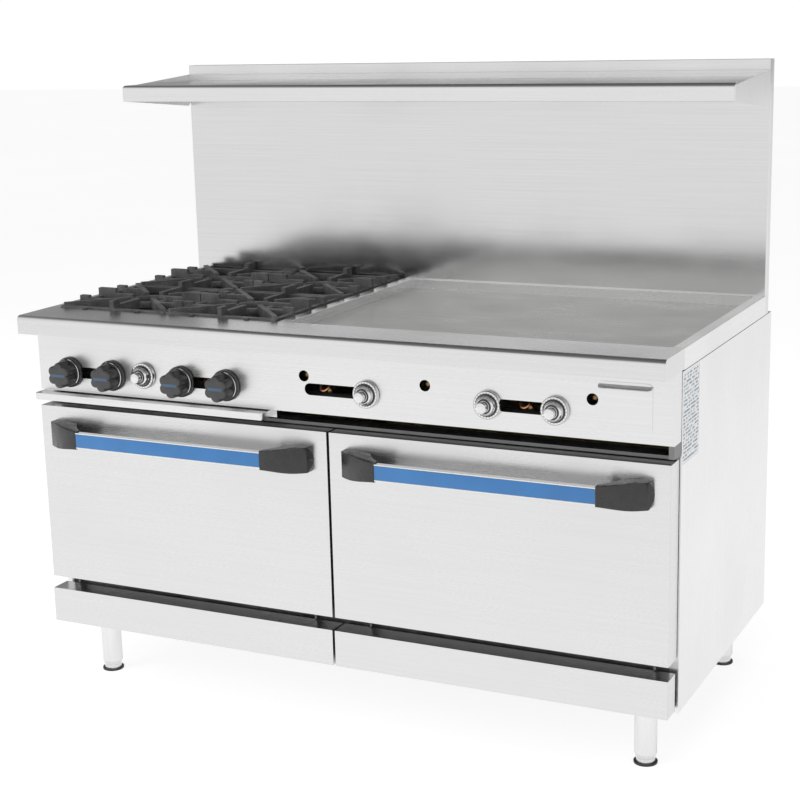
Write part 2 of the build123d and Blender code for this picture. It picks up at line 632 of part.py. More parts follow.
def grate_bar(start, end, z):
    """A straight bar of the casting between two plan points, measured from the grate's middle."""
    along = (end[0] - start[0], end[1] - start[1])
    angle = math.degrees(math.atan2(along[1], along[0]))
    bar = Box(math.hypot(*along), GRATE_BAR, z[1] - z[0])
    middle = ((start[0] + end[0]) / 2, (start[1] + end[1]) / 2, (z[0] + z[1]) / 2)
    return Pos(*middle) * Rot(0, 0, angle) * bar


def grate_casting():
    """A cast grate about its own middle: rim, centre ring, fingers and the raised pads that carry a pot."""
    half_x = GRATE_WIDTH / 2
    half_y = GRATE_SIZE_Y / 2
    bottom = GRATE_SEAT + FIT_GAP
    rim_top = GRATE_SEAT + GRATE_RIM_HEIGHT
    rim_z = (bottom, rim_top)
    finger_z = (bottom, rim_top + GRATE_FINGER_RISE)
    pad_z = (bottom, rim_top + GRATE_PAD_RISE)
    low_pad_z = (bottom, rim_top + GRATE_LOW_PAD_RISE)
    inset = GRATE_BAR / 2
    edge_x = half_x - inset
    edge_y = half_y - inset
    rim_x = [grate_bar((-half_x, side * edge_y), (half_x, side * edge_y), rim_z) for side in SIDES.values()]
    rim_y = [grate_bar((side * edge_x, -half_y), (side * edge_x, half_y), rim_z) for side in SIDES.values()]
    ring_top = finger_z[1] - GRATE_RING_DROP
    ring = Pos(0, 0, (bottom + ring_top) / 2) * Cylinder(GRATE_RING_RADIUS + inset, ring_top - bottom)
    casting = ring + rim_x + rim_y
    off_axis = edge_y * GRATE_COMB_SHARE
    diagonal_scale = GRATE_RING_RADIUS / math.hypot(edge_x, edge_y)
    for side in SIDES.values():
        casting += grate_bar((side * GRATE_RING_RADIUS, 0), (side * half_x, 0), finger_z)
        casting += grate_bar((side * (half_x - GRATE_PAD_LENGTH), 0), (side * half_x, 0), pad_z)
        casting += grate_bar((0, side * GRATE_RING_RADIUS), (0, side * half_y), finger_z)
        casting += grate_bar((0, side * (half_y - GRATE_LOW_PAD_LENGTH)), (0, side * half_y), pad_z)
        for end in SIDES.values():
            corner = (side * edge_x, end * edge_y)
            root = (corner[0] * diagonal_scale, corner[1] * diagonal_scale)
            casting += grate_bar(root, corner, finger_z)
            comb = end * off_axis
            comb_end = (side * half_x, comb)
            casting += grate_bar((side * edge_x * GRATE_COMB_SHARE, comb), comb_end, finger_z)
            casting += grate_bar((side * (half_x - GRATE_LOW_PAD_LENGTH), comb), comb_end, low_pad_z)
    centre = Cylinder(GRATE_RING_RADIUS - inset, 2 * (pad_z[1] - bottom))
    return casting - Pos(0, 0, bottom) * centre


def grate(column, row):
    """One grate in its place; the front ones have lugs that lap over the work ledge."""
    x, y = grate_span(column, row)
    middle_x = sum(x) / 2
    casting = Pos(middle_x, sum(y) / 2 - DEPTH / 2, 0) * grate_casting()
    if row == 0:
        lug_z = (DECK_HEIGHT + LUG_GAP, GRATE_SEAT + GRATE_RIM_HEIGHT)
        for side in SIDES.values():
            lug_x = spread(middle_x + side * GRATE_WIDTH / 4, GRATE_BAR)
            casting += block(lug_x, (y[0] - GRATE_GAP - LUG_LAP, y[0] + GRATE_BAR / 2), lug_z)
    return casting


def open_burners():
    """A cast burner for each black knob: head, mixer arm and hollow venturi, joined face to face."""
    pieces = []
    head_bottom = GRATE_SEAT - BURNER_HEAD_DROP
    head_top = head_bottom + BURNER_HEAD_HEIGHT
    for number, knob_x in enumerate(BURNER_KNOB_X):
        x, y = grate_span(number // 2, number % 2)
        centre_x = sum(x) / 2
        centre_y = sum(y) / 2
        head = rod_z(centre_x, centre_y, BURNER_HEAD_RADIUS, head_bottom, head_top)
        head += rod_z(centre_x, centre_y, BURNER_HEAD_RADIUS / 2, head_bottom, head_top + BURNER_CAP_RISE)
        arm_z = spread(BURNER_HEIGHT, 2 * VENTURI_RADIUS)
        arm_y = spread(centre_y, 2 * VENTURI_RADIUS)
        arm = block((knob_x - VENTURI_RADIUS, centre_x), arm_y, arm_z)
        if knob_x > centre_x:
            arm = block((centre_x, knob_x + VENTURI_RADIUS), arm_y, arm_z)
        neck = rod_z(centre_x, centre_y, VENTURI_RADIUS, BURNER_HEIGHT, head_bottom)
        tube = rod_y(knob_x, BURNER_HEIGHT, VENTURI_RADIUS, VENTURI_START, arm_y[0])
        bore = rod_y(knob_x, BURNER_HEIGHT, VENTURI_BORE, VENTURI_START - REACH, arm_y[0] + REACH)
        pieces += [head, neck + arm, tube - bore]
    return group(pieces)


# ---------------------------------------------------------------- gas train
def manifold_axis(x0, x1):
    return rod_x(MANIFOLD_SETBACK, MANIFOLD_HEIGHT, PIPE_RADIUS, x0, x1)


def manifold_span():
    return (BURNER_KNOB_X[0] - MANIFOLD_END_GAP, GRIDDLE_KNOB_X[1] + MANIFOLD_END_GAP)


def gas_pipes():
    """The manifold behind the control panel and the inlet pipe that feeds it from the rear."""
    x0, x1 = manifold_span()
    bore = rod_x(MANIFOLD_SETBACK, MANIFOLD_HEIGHT, PIPE_RADIUS - PIPE_WALL, x0 + PIPE_WALL, x1 - PIPE_WALL)
    start = MANIFOLD_SETBACK + PIPE_RADIUS / 2
    end = DEPTH - INLET_END_GAP
    inlet = rod_y(INLET_X, MANIFOLD_HEIGHT, PIPE_RADIUS, start, end - INLET_THREAD_LENGTH)
    inlet += rod_y(INLET_X, MANIFOLD_HEIGHT, INLET_THREAD_RADIUS, end - INLET_THREAD_LENGTH - REACH, end)
    inlet_bore = rod_y(INLET_X, MANIFOLD_HEIGHT, PIPE_RADIUS - PIPE_WALL, start - REACH, end + REACH)
    return group([manifold_axis(x0, x1) - bore, inlet - inlet_bore - manifold_axis(x0, x1)])


def stem_bore(x):
    end = PANEL_SETBACK - KNOB_GAP + STEM_BORE_DEPTH
    return rod_y(x, axis_height(x), STEM_RADIUS + STEM_CLEARANCE, VALVE_SETBACK - REACH, end)


def gas_valves():
    valves = []
    manifold = manifold_axis(*manifold_span())
    for x in BURNER_KNOB_X + GRIDDLE_KNOB_X:
        body_end = VALVE_SETBACK + VALVE_LENGTH
        height = axis_height(x)
        body = rod_y(x, height, VALVE_RADIUS, VALVE_SETBACK, body_end)
        leg = rod_z(x, MANIFOLD_SETBACK, VALVE_LEG_RADIUS, MANIFOLD_HEIGHT, height)
        nose = rod_y(x, height, VALVE_NOSE_RADIUS, body_end, body_end + VALVE_NOSE_LENGTH)
        valves.append(body + leg + nose - manifold - stem_bore(x))
    return group(valves)


def oven_thermostats():
    bodies = []
    manifold = manifold_axis(*manifold_span())
    for x in OVEN_KNOB_X:
        z = (MANIFOLD_HEIGHT + PIPE_RADIUS + REACH, CONTROL_HEIGHT + THERMOSTAT_SIZE / 2)
        body = block(spread(x, THERMOSTAT_SIZE), (VALVE_SETBACK, VALVE_SETBACK + THERMOSTAT_SIZE), z)
        leg = rod_z(x, MANIFOLD_SETBACK, VALVE_LEG_RADIUS, MANIFOLD_HEIGHT, CONTROL_HEIGHT)
        bodies.append(body + leg - manifold - stem_bore(x))
    return group(bodies)


# ---------------------------------------------------------------- knobs
def knob_stem(x):
    back = PANEL_SETBACK - KNOB_GAP
    return rod_y(x, axis_height(x), STEM_RADIUS, back, back + STEM_LENGTH)


def burner_knob(x):
    """A lobed grip on a round skirt, with the valve stem it turns."""
    back = PANEL_SETBACK - KNOB_GAP
    skirt_front = back - BLACK_SKIRT_DEPTH
    skirt = rod_y(x, BURNER_HEIGHT, BLACK_SKIRT_RADIUS, skirt_front, back)
    rim = skirt.edges().filter_by(GeomType.CIRCLE).sort_by(Axis.Y)[0]
    skirt = chamfer(rim, BLACK_SKIRT_CHAMFER)
    grip_front = skirt_front - BLACK_GRIP_DEPTH
    lobe_circle = BLACK_GRIP_RADIUS - LOBE_RADIUS
    grip = rod_y(x, BURNER_HEIGHT, BLACK_CORE_RADIUS, grip_front, skirt_front + REACH)
    for number in range(LOBE_COUNT):
        angle = math.radians(90 + 360 * number / LOBE_COUNT)
        lobe_x = x + lobe_circle * math.cos(angle)
        lobe_z = BURNER_HEIGHT + lobe_circle * math.sin(angle)
        grip += rod_y(lobe_x, lobe_z, LOBE_RADIUS, grip_front, skirt_front + REACH)
    return group([skirt + grip, knob_stem(x)])


def chrome_knob(x):
    """A stepped round knob: bezel, dome and a small grip."""
    back = PANEL_SETBACK - KNOB_GAP
    bezel_front = back - CHROME_BEZEL_DEPTH
    dome_front = bezel_front - CHROME_DOME_DEPTH
    grip_front = dome_front - CHROME_GRIP_DEPTH
    bezel = rod_y(x, CONTROL_HEIGHT, CHROME_BEZEL_RADIUS, bezel_front, back)
    bezel = fillet(bezel.edges().filter_by(GeomType.CIRCLE).sort_by(Axis.Y)[0], CHROME_BEZEL_ROUND)
    dome = rod_y(x, CONTROL_HEIGHT, CHROME_DOME_RADIUS, dome_front, bezel_front + REACH)
    dome = fillet(dome.edges().filter_by(GeomType.CIRCLE).sort_by(Axis.Y)[0], CHROME_DOME_ROUND)
    grip = rod_y(x, CONTROL_HEIGHT, CHROME_GRIP_RADIUS, grip_front, dome_front + REACH)
    return group([bezel + dome + grip, knob_stem(x)])


# ---------------------------------------------------------------- trays
def grease_drawer():
    """An open box with a thin front and a sloping pull lip along the front's top edge."""
    front_back = PANEL_SETBACK - FIT_GAP
    box_z = (DRAWER_BOTTOM, DRAWER_BOTTOM + DRAWER_BOX_HEIGHT)
    box = folded(spread(DRAWER_CENTRE_X, DRAWER_WIDTH), (front_back - SHEET, front_back + DRAWER_LENGTH),
                 box_z, SHEET, "+z")
    front_bottom = DRAWER_BOTTOM - DRAWER_FRONT_MARGIN
    front_top = front_bottom + DRAWER_FRONT_HEIGHT
    front_width = DRAWER_WIDTH + 2 * DRAWER_FRONT_MARGIN
    front_x = spread(DRAWER_CENTRE_X, front_width)
    face = block(front_x, (front_back - SHEET, front_back), (front_bottom, front_top))
    face = fillet(face.edges().filter_by(Axis.Y), DRAWER_CORNER)
    lip = Box(front_width, DRAWER_LIP_DEPTH, DRAWER_LIP_THICKNESS)
    outer_corners = lip.edges().filter_by(Axis.Z).sort_by(Axis.Y)[:2]
    lip = Rot(DRAWER_LIP_SLOPE, 0, 0) * fillet(outer_corners, DRAWER_LIP_DEPTH / 2)
    lip_setback = front_back - DRAWER_LIP_DEPTH * math.cos(math.radians(DRAWER_LIP_SLOPE)) / 2
    lip = Pos(DRAWER_CENTRE_X, lip_setback - DEPTH / 2, front_top - DRAWER_LIP_DROP) * lip
    behind = (front_back - SHEET / 2, front_back + DRAWER_LIP_DEPTH)
    lip -= block(front_x, behind, (front_bottom, front_top))
    return box + face + lip


def drawer_runners():
    top = DRAWER_BOTTOM - RUNNER_GAP
    z = (top - DRAWER_RUNNER_THICKNESS, top)
    y = (SIDE_SETBACK + BASE_FRAME_GAP, PANEL_SETBACK + DRAWER_LENGTH)
    offset = (DRAWER_WIDTH - DRAWER_RUNNER_WIDTH) / 2
    middles = [DRAWER_CENTRE_X + side * offset for side in SIDES.values()]
    return group([block(spread(middle, DRAWER_RUNNER_WIDTH), y, z) for middle in middles])


def crumb_tray():
    """A shallow pan with a front flange and a hollow pull lip."""
    z = (TRAY_TOP - TRAY_HEIGHT, TRAY_TOP)
    pan_x = (BURNER_BOX_LEFT - TRAY_OVERLAP / 2, BURNER_BOX_RIGHT + TRAY_OVERLAP)
    pan = folded(pan_x, (TRAY_FLANGE_SETBACK, TRAY_FLANGE_SETBACK + TRAY_LENGTH), z, SHEET, "+z")
    left = -HALF + SIDE_GAP
    flange_back = TRAY_FLANGE_SETBACK + SHEET
    flange = block((left, BURNER_BOX_RIGHT + TRAY_FLANGE_OVERLAP), (TRAY_FLANGE_SETBACK, flange_back), z)
    lip_x = (left, BURNER_BOX_RIGHT + TRAY_OVERLAP)
    lip = block(lip_x, (TRAY_LIP_SETBACK, flange_back), z)
    lip = fillet(lip.edges().filter_by(Axis.Z).sort_by(Axis.Y)[:2], TRAY_LIP_CORNER)
    hollow = block((lip_x[0] + SHEET, lip_x[1] - SHEET), (TRAY_LIP_SETBACK + SHEET, flange_back),
                   (z[0] - REACH, z[1] - SHEET))
    hollow = fillet(hollow.edges().filter_by(Axis.Z).sort_by(Axis.Y)[:2], TRAY_LIP_CORNER - SHEET)
    return pan + flange + (lip - hollow)


# ---------------------------------------------------------------- ovens
def oven_liners():
    """Cavity walls, roof and back, each a separate plate that meets its neighbours edge to edge."""
    plates = []
    for side in SIDES.values():
        x = spread(side * DOOR_CENTRE, OVEN_WIDTH)
        y = (OVEN_FRONT, OVEN_BACK)
        z = (OVEN_FLOOR_HEIGHT, OVEN_TOP)
        for wall in ((x[0] - LINER_SHEET, x[0]), (x[1], x[1] + LINER_SHEET)):
            plates.append(block(wall, (y[0], y[1] + LINER_SHEET), (z[0], z[1] + LINER_SHEET)))
        plates.append(block(x, y, (z[1], z[1] + LINER_SHEET)))
        plates.append(block(x, (y[1], y[1] + LINER_SHEET), (z[0], z[1])))
    return group(plates)


def oven_floors():
    floors = []
    for side in SIDES.values():
        x = spread(side * DOOR_CENTRE, OVEN_WIDTH - 2 * FIT_GAP)
        y = (OVEN_FRONT, OVEN_BACK - FIT_GAP)
        z = (OVEN_FLOOR_HEIGHT - OVEN_FLOOR_FOLD, OVEN_FLOOR_HEIGHT)
        floors.append(folded(x, y, z, LINER_SHEET, "-z"))
    return group(floors)


def oven_insulation():
    slabs = []
    for side in SIDES.values():
        x = spread(side * DOOR_CENTRE, OVEN_WIDTH + 2 * LINER_SHEET)
        y = (OVEN_FRONT, OVEN_BACK + LINER_SHEET)
        z = (OVEN_FLOOR_HEIGHT, OVEN_TOP + LINER_SHEET)
        for wall in ((x[0] - INSULATION, x[0]), (x[1], x[1] + INSULATION)):
            slabs.append(block(wall, y, z))
        slabs.append(block(x, y, (z[1], z[1] + INSULATION)))
        slabs.append(block(x, (y[1], y[1] + INSULATION), z))
    return group(slabs)


def rack_guides():
    guides = []
    y = (OVEN_FRONT + RACK_GUIDE_END_GAP, OVEN_BACK - RACK_GUIDE_END_GAP)
    for side in SIDES.values():
        x = spread(side * DOOR_CENTRE, OVEN_WIDTH)
        for rise in RACK_GUIDE_HEIGHTS:
            top = OVEN_FLOOR_HEIGHT + rise
            z = (top - RACK_GUIDE_THICKNESS, top)
            guides.append(block((x[0], x[0] + RACK_GUIDE_WIDTH), y, z))
            guides.append(block((x[1] - RACK_GUIDE_WIDTH, x[1]), y, z))
    return group(guides)


def oven_rack(side):
    """A wire rack: two side wires, three cross wires and a row of bars on top of them."""
    half = OVEN_WIDTH / 2 - RACK_MARGIN - RACK_WIRE_RADIUS
    height = OVEN_FLOOR_HEIGHT + RACK_GUIDE_HEIGHTS[0] + RACK_WIRE_RADIUS + RACK_LIFT
    y0 = RACK_FRONT_SETBACK
    y1 = y0 + RACK_DEPTH
    middle = side * DOOR_CENTRE
    rack = rod_x((y0 + y1) / 2, height, RACK_CROSS_RADIUS, middle - half, middle + half)
    for setback in (y0, y1):
        rack += rod_x(setback, height, RACK_CROSS_RADIUS, middle - half, middle + half)
    for edge in (-half, half):
        side_y = (y0 - RACK_BAR_PITCH / 4, y1 + RACK_BAR_PITCH / 4)
        rack += rod_y(middle + edge, height, RACK_WIRE_RADIUS, *side_y)
    count = int((2 * half - RACK_BAR_PITCH) // RACK_BAR_PITCH)
    bar_height = height + RACK_CROSS_RADIUS + RACK_BAR_RADIUS / 2
    for number in range(count + 1):
        x = middle + (number - count / 2) * RACK_BAR_PITCH
        rack += rod_y(x, bar_height, RACK_BAR_RADIUS, y0 - RACK_WIRE_RADIUS, y1 + RACK_WIRE_RADIUS)
    return rack


def oven_burners():
    tubes = []
    height = (BASE_TOP + OVEN_FLOOR_HEIGHT) / 2
    front = OVEN_FRONT + OVEN_BURNER_END_GAP
    back = OVEN_BACK - 2 * OVEN_BURNER_END_GAP
    for side in SIDES.values():
        x = side * DOOR_CENTRE
        tube = rod_y(x, height, OVEN_BURNER_RADIUS, front, back)
        bore = rod_y(x, height, OVEN_BURNER_RADIUS - VENTURI_WALL, front - REACH, back - OVEN_BURNER_RADIUS)
        tubes.append(tube - bore)
    return group(tubes)


def hinge_places(side):
    """x of a door's two hinge brackets."""
    return (side * HINGE_CENTRE_INSET, side * (HALF - HINGE_INSET))


def hinge_brackets():
    """Plates off the front frame that end in the eyes of the door hinges."""
    brackets = []
    for side in SIDES.values():
        for x in hinge_places(side):
            span = spread(x, HINGE_PLATE)
            eye = rod_x(HINGE_SETBACK, HINGE_HEIGHT, HINGE_EYE_RADIUS, *span)
            neck = block(span, (HINGE_SETBACK, FRAME_SETBACK), spread(HINGE_HEIGHT, 2 * HINGE_EYE_RADIUS))
            tab = block(span, (HINGE_SETBACK + HINGE_TAB_INSET, FRAME_SETBACK),
                        (HINGE_HEIGHT - HINGE_TAB_DROP, HINGE_HEIGHT))
            hole = rod_x(HINGE_SETBACK, HINGE_HEIGHT, HINGE_PIN_RADIUS + PIN_CLEARANCE,
                         span[0] - REACH, span[1] + REACH)
            brackets.append(eye + neck + tab - hole)
    return group(brackets)


# ---------------------------------------------------------------- doors
def hinge_notch(x):
    return block(spread(x, HINGE_PLATE + 2 * HINGE_NOTCH_GAP),
                 (HINGE_SETBACK - HINGE_EYE_RADIUS - HINGE_NOTCH_GAP, DOOR_SETBACK + DOOR_THICKNESS + REACH),
                 (DOOR_BOTTOM - REACH, HINGE_HEIGHT + HINGE_EYE_RADIUS + HINGE_NOTCH_GAP))


def door_span(side):
    return tuple(sorted((side * DOOR_CENTRE_GAP / 2, side * (HALF - SIDE_GAP))))


def door_skin(side):
    y = (DOOR_SETBACK, DOOR_SETBACK + DOOR_THICKNESS)
    skin = folded(door_span(side), y, (DOOR_BOTTOM, DOOR_TOP), SHEET, "+y")
    for x in hinge_places(side):
        skin -= hinge_notch(x)
    return skin


def door_liner(side):
    """The door's inner pan with its two hinge pins, held in blocks at the pan's lower edge."""
    pins = []
    x = door_span(side)
    back = DOOR_SETBACK + DOOR_THICKNESS
    inner_x = (x[0] + SHEET, x[1] - SHEET)
    inner_z = (DOOR_BOTTOM + SHEET, DOOR_TOP - SHEET)
    liner = folded(inner_x, (back - DOOR_LINER_DEPTH, back), inner_z, LINER_SHEET, "-y")
    boss_y = (HINGE_SETBACK - HINGE_BOSS_MARGIN, back - LINER_SHEET / 2)
    boss_z = (inner_z[0], HINGE_HEIGHT + HINGE_BOSS_MARGIN)
    for place in hinge_places(side):
        liner += block(spread(place, HINGE_PIN_LENGTH), boss_y, boss_z)
        liner -= hinge_notch(place)
        pin = rod_x(HINGE_SETBACK, HINGE_HEIGHT, HINGE_PIN_RADIUS, *spread(place, HINGE_PIN_LENGTH))
        liner -= pin
        pins.append(pin)
    return group([liner] + pins)


def handle_bar(side):
    """A channel with a shallow groove along its face for a coloured strip."""
    front = DOOR_SETBACK - HANDLE_STAND_OFF
    x = spread(side * DOOR_CENTRE, 2 * HANDLE_BAR_HALF)
    height = spread(HANDLE_HEIGHT, HANDLE_BAR_HEIGHT)
    bar = folded(x, (front, front + HANDLE_BAR_DEPTH), height, FRAME_SHEET, "+y")
    groove = block(x, (front - REACH, front + STRIP_THICKNESS), spread(HANDLE_HEIGHT, STRIP_HEIGHT))
    return bar - groove


def handle_end():
    """One plastic end about its bar joint: the bar is at x = 0 and the foot meets the door at y = 0."""
    stand = HANDLE_STAND_OFF
    reach = HANDLE_END_REACH
    shoulder = (reach - HANDLE_END_BULGE, stand / 3)
    thin = stand - HANDLE_END_TIP
    root = reach - HANDLE_END_FOOT
    outer = Bezier((0, stand), (reach / 3, stand), (reach * 2 / 3, stand * 2 / 3), shoulder)
    heel = Line(shoulder, (reach, 0))
    sole = Line((reach, 0), (root, 0))
    inner = Bezier((root, 0), (root * 3 / 4, thin / 2), (0, thin))
    tip = Line((0, thin), (0, stand))
    plan = extrude(make_face([outer, heel, sole, inner, tip]), amount=HANDLE_END_HEIGHT, both=True)
    half = HANDLE_END_HEIGHT / 2
    neck = HANDLE_END_NECK / 2
    flare_x = reach * 3 / 4
    flare = Bezier((0, neck), (reach / 4, neck), (reach / 2, half), (flare_x, half))
    edge = Line((flare_x, half), (shoulder[0], half))
    cap = ThreePointArc((shoulder[0], half), (reach, 0), (shoulder[0], -half))
    lower_edge = Line((shoulder[0], -half), (flare_x, -half))
    lower_flare = Bezier((flare_x, -half), (reach / 2, -half), (reach / 4, -neck), (0, -neck))
    joint = Line((0, -neck), (0, neck))
    face = make_face([flare, edge, cap, lower_edge, lower_flare, joint])
    front = Rot(90, 0, 0) * extrude(face, amount=stand + REACH, both=True)
    return plan & front


def handle_ends(side):
    """The plastic ends that carry the handle bar off the door."""
    ends = []
    for end in SIDES.values():
        solid = Rot(180, 0, 0) * handle_end()
        if end < 0:
            solid = mirror(solid, about=Plane.YZ)
        x = side * DOOR_CENTRE + end * HANDLE_BAR_HALF
        ends.append(Pos(x, DOOR_SETBACK - DEPTH / 2, HANDLE_HEIGHT) * solid)
    return group(ends)


# ---------------------------------------------------------------- riser and shelf
def riser_front():
    y = (RISER_SETBACK, RISER_SETBACK + RISER_DEPTH / 2)
    return folded((-HALF + PANEL_INSET, HALF - PANEL_INSET), y, (SIDE_TOP, RISER_TOP), SHEET, "+y")


def riser_rear():
    y = (RISER_SETBACK + RISER_DEPTH / 2, RISER_BACK)
    return folded((-HALF + PANEL_INSET, HALF - PANEL_INSET), y, (SIDE_TOP, RISER_TOP), SHEET, "-y")


def high_shelf():
    x = (-HALF + SHEET, HALF - SHEET)
    front = RISER_SETBACK - SHELF_DEPTH
    slab = block(x, (front, RISER_SETBACK), (SHELF_HEIGHT - SHELF_LIP, SHELF_HEIGHT))
    rolled = slab.edges().filter_by(Axis.X).sort_by(Axis.Y)[:2].sort_by(Axis.Z)[-1]
    slab = fillet(rolled, SHELF_EDGE_RADIUS)
    inner = block((x[0] - REACH, x[1] + REACH), (front + SHEET, RISER_SETBACK + REACH),
                  (SHELF_HEIGHT - SHELF_LIP + SHEET, SHELF_HEIGHT - SHEET))
    inner_roll = inner.edges().filter_by(Axis.X).sort_by(Axis.Y)[:2].sort_by(Axis.Z)[-1]
    inner = fillet(inner_roll, SHELF_EDGE_RADIUS - SHEET)
    under = block((x[0] - REACH, x[1] + REACH), (front + LEDGE_RETURN, RISER_SETBACK + REACH),
                  (SHELF_HEIGHT - SHELF_LIP - REACH, SHELF_HEIGHT - SHEET - SHELF_EDGE_RADIUS))
    flange_z = (SHELF_HEIGHT - SHEET, SHELF_HEIGHT + SHELF_FLANGE)
    flange = block(x, (RISER_SETBACK - SHEET, RISER_SETBACK), flange_z)
    return slab - inner - under + flange


def shelf_brackets():
    """Tapered end plates that carry the shelf off the riser."""
    front = RISER_SETBACK - SHELF_DEPTH + SHEET - DEPTH / 2
    back = RISER_SETBACK - DEPTH / 2
    top = SHELF_HEIGHT + SHELF_FLANGE
    bottom = top - BRACKET_BACK_HEIGHT
    outline = [(front, SHELF_HEIGHT - SHELF_LIP), (back - BRACKET_FOOT, bottom)]
    outline += [(back, bottom + BRACKET_FOOT), (back, top), (front, SHELF_HEIGHT - BRACKET_FOOT / 2)]
    plates = []
    for side in SIDES.values():
        plate = extrude(Plane.YZ * make_face(Polyline(*outline, close=True)), amount=SHEET)
        x = HALF - SHEET if side > 0 else -HALF
        plates.append(Pos(x, 0, 0) * plate)
    return group(plates)


# ---------------------------------------------------------------- the assembly
def build_nodes():
    nodes = {
        "leg_tubes": leg_tubes(),
        "base_frame": base_frame(),
        "rear_panel": rear_panel(),
        "front_frame": front_frame(),
        "control_panel": control_panel(),
        "front_ledge": front_ledge(),
        "top_trims": top_trims(),
        "griddle_guards": griddle_guards(),
        "griddle_plate": griddle_plate(),
        "griddle_supports": griddle_supports(),
        "grease_trough": grease_trough(),
        "griddle_burners": griddle_burners(),
        "burner_box": burner_box(),
        "open_burners": open_burners(),
        "gas_pipes": gas_pipes(),
        "gas_valves": gas_valves(),
        "oven_thermostats": oven_thermostats(),
        "grease_drawer": grease_drawer(),
        "drawer_runners": drawer_runners(),
        "crumb_tray": crumb_tray(),
        "oven_liners": oven_liners(),
        "oven_floors": oven_floors(),
        "oven_burners": oven_burners(),
        "oven_insulation": oven_insulation(),
        "rack_guides": rack_guides(),
        "hinge_brackets": hinge_brackets(),
        "riser_front": riser_front(),
        "riser_rear": riser_rear(),
        "high_shelf": high_shelf(),
        "shelf_brackets": shelf_brackets(),
    }
    for name, side in SIDES.items():
        nodes[f"side_panel_{name}"] = side_panel(side)
        nodes[f"kick_plate_{name}"] = kick_plate(side)
        nodes[f"oven_rack_{name}"] = oven_rack(side)
        nodes[f"door_skin_{name}"] = door_skin(side)
        nodes[f"door_liner_{name}"] = door_liner(side)
        nodes[f"handle_bar_{name}"] = handle_bar(side)
        nodes[f"handle_ends_{name}"] = handle_ends(side)
        for end, setback in ENDS.items():
            nodes[f"foot_{end}_{name}"] = foot(side, setback)
    for number, x in enumerate(BURNER_KNOB_X, start=1):
        nodes[f"burner_knob_{number}"] = burner_knob(x)
    for name, x in zip(SIDES, OVEN_KNOB_X):
        nodes[f"oven_knob_{name}"] = chrome_knob(x)
    for name, x in zip(SIDES, GRIDDLE_KNOB_X):
        nodes[f"griddle_knob_{name}"] = chrome_knob(x)
    for column, name in enumerate(SIDES):
        for row, end in enumerate(ENDS):
            nodes[f"grate_{end}_{name}"] = grate(column, row)
    return nodes


def main():
    os.makedirs("parts", exist_ok=True)
    for name, shape in build_nodes().items():
        export_step(shape, f"parts/{name}.step")


if __name__ == "__main__":
    main()
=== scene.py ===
"""Looks of the commercial gas range: materials, fine pieces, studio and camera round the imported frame."""
import math
import bmesh
import bpy
from mathutils import Matrix, Vector


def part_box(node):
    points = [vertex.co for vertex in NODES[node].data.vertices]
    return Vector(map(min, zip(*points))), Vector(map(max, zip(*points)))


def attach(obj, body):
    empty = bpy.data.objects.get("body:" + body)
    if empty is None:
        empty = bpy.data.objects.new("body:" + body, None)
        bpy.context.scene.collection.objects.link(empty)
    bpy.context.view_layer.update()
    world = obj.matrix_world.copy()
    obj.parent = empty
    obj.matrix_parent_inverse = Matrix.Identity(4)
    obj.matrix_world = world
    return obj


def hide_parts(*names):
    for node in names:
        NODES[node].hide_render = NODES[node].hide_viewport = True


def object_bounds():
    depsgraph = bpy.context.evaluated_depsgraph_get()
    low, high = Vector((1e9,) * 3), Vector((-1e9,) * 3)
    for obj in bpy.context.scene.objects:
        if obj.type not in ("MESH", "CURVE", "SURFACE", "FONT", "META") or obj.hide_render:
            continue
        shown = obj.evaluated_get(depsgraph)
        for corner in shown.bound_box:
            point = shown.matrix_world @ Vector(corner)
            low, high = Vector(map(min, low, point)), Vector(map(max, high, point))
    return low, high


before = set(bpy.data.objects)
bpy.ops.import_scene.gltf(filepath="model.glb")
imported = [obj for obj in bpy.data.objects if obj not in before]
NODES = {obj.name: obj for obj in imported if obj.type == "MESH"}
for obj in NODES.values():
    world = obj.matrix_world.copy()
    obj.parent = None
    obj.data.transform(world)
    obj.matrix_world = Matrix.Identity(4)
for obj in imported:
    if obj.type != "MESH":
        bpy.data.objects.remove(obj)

CAD_LOW, CAD_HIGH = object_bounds()
MM = 0.001
FULL_TURN = 2 * math.pi

# Blender's noise keeps near its middle, so ramps and ranges read it between these two values.
NOISE_LOW = 0.3
NOISE_HIGH = 0.7


# ---------------------------------------------------------------- node helpers
def new_material(name):
    """A material with its node tree and principled shader, ready for textures."""
    material = bpy.data.materials.new(name)
    material.use_nodes = True
    tree = material.node_tree
    return material, tree, tree.nodes["Principled BSDF"]


def feed(tree, value, socket):
    """Links a node's output to a socket, or sets the socket to a plain number or colour."""
    if isinstance(value, bpy.types.NodeSocket):
        tree.links.new(value, socket)
    elif isinstance(value, tuple):
        socket.default_value = (*value, 1.0)
    else:
        socket.default_value = value


def object_space(tree, scale):
    """Object coordinates stretched by scale, one factor for each axis."""
    source = tree.nodes.new("ShaderNodeTexCoord")
    mapping = tree.nodes.new("ShaderNodeMapping")
    mapping.inputs["Scale"].default_value = scale
    tree.links.new(source.outputs["Object"], mapping.inputs["Vector"])
    return mapping.outputs["Vector"]


def noise(tree, scale, detail=2.0, roughness=0.5):
    """Noise in object space, with one scale for each axis."""
    node = tree.nodes.new("ShaderNodeTexNoise")
    node.inputs["Scale"].default_value = 1.0
    node.inputs["Detail"].default_value = detail
    node.inputs["Roughness"].default_value = roughness
    tree.links.new(object_space(tree, scale), node.inputs["Vector"])
    return node.outputs["Fac"]


def even(scale):
    """The same scale for all three axes."""
    return (scale, scale, scale)


def brushed(grain, across, along):
    """Scales of brush lines: quick across the grain axis and slow along it."""
    return tuple(along if axis == grain else across for axis in range(3))


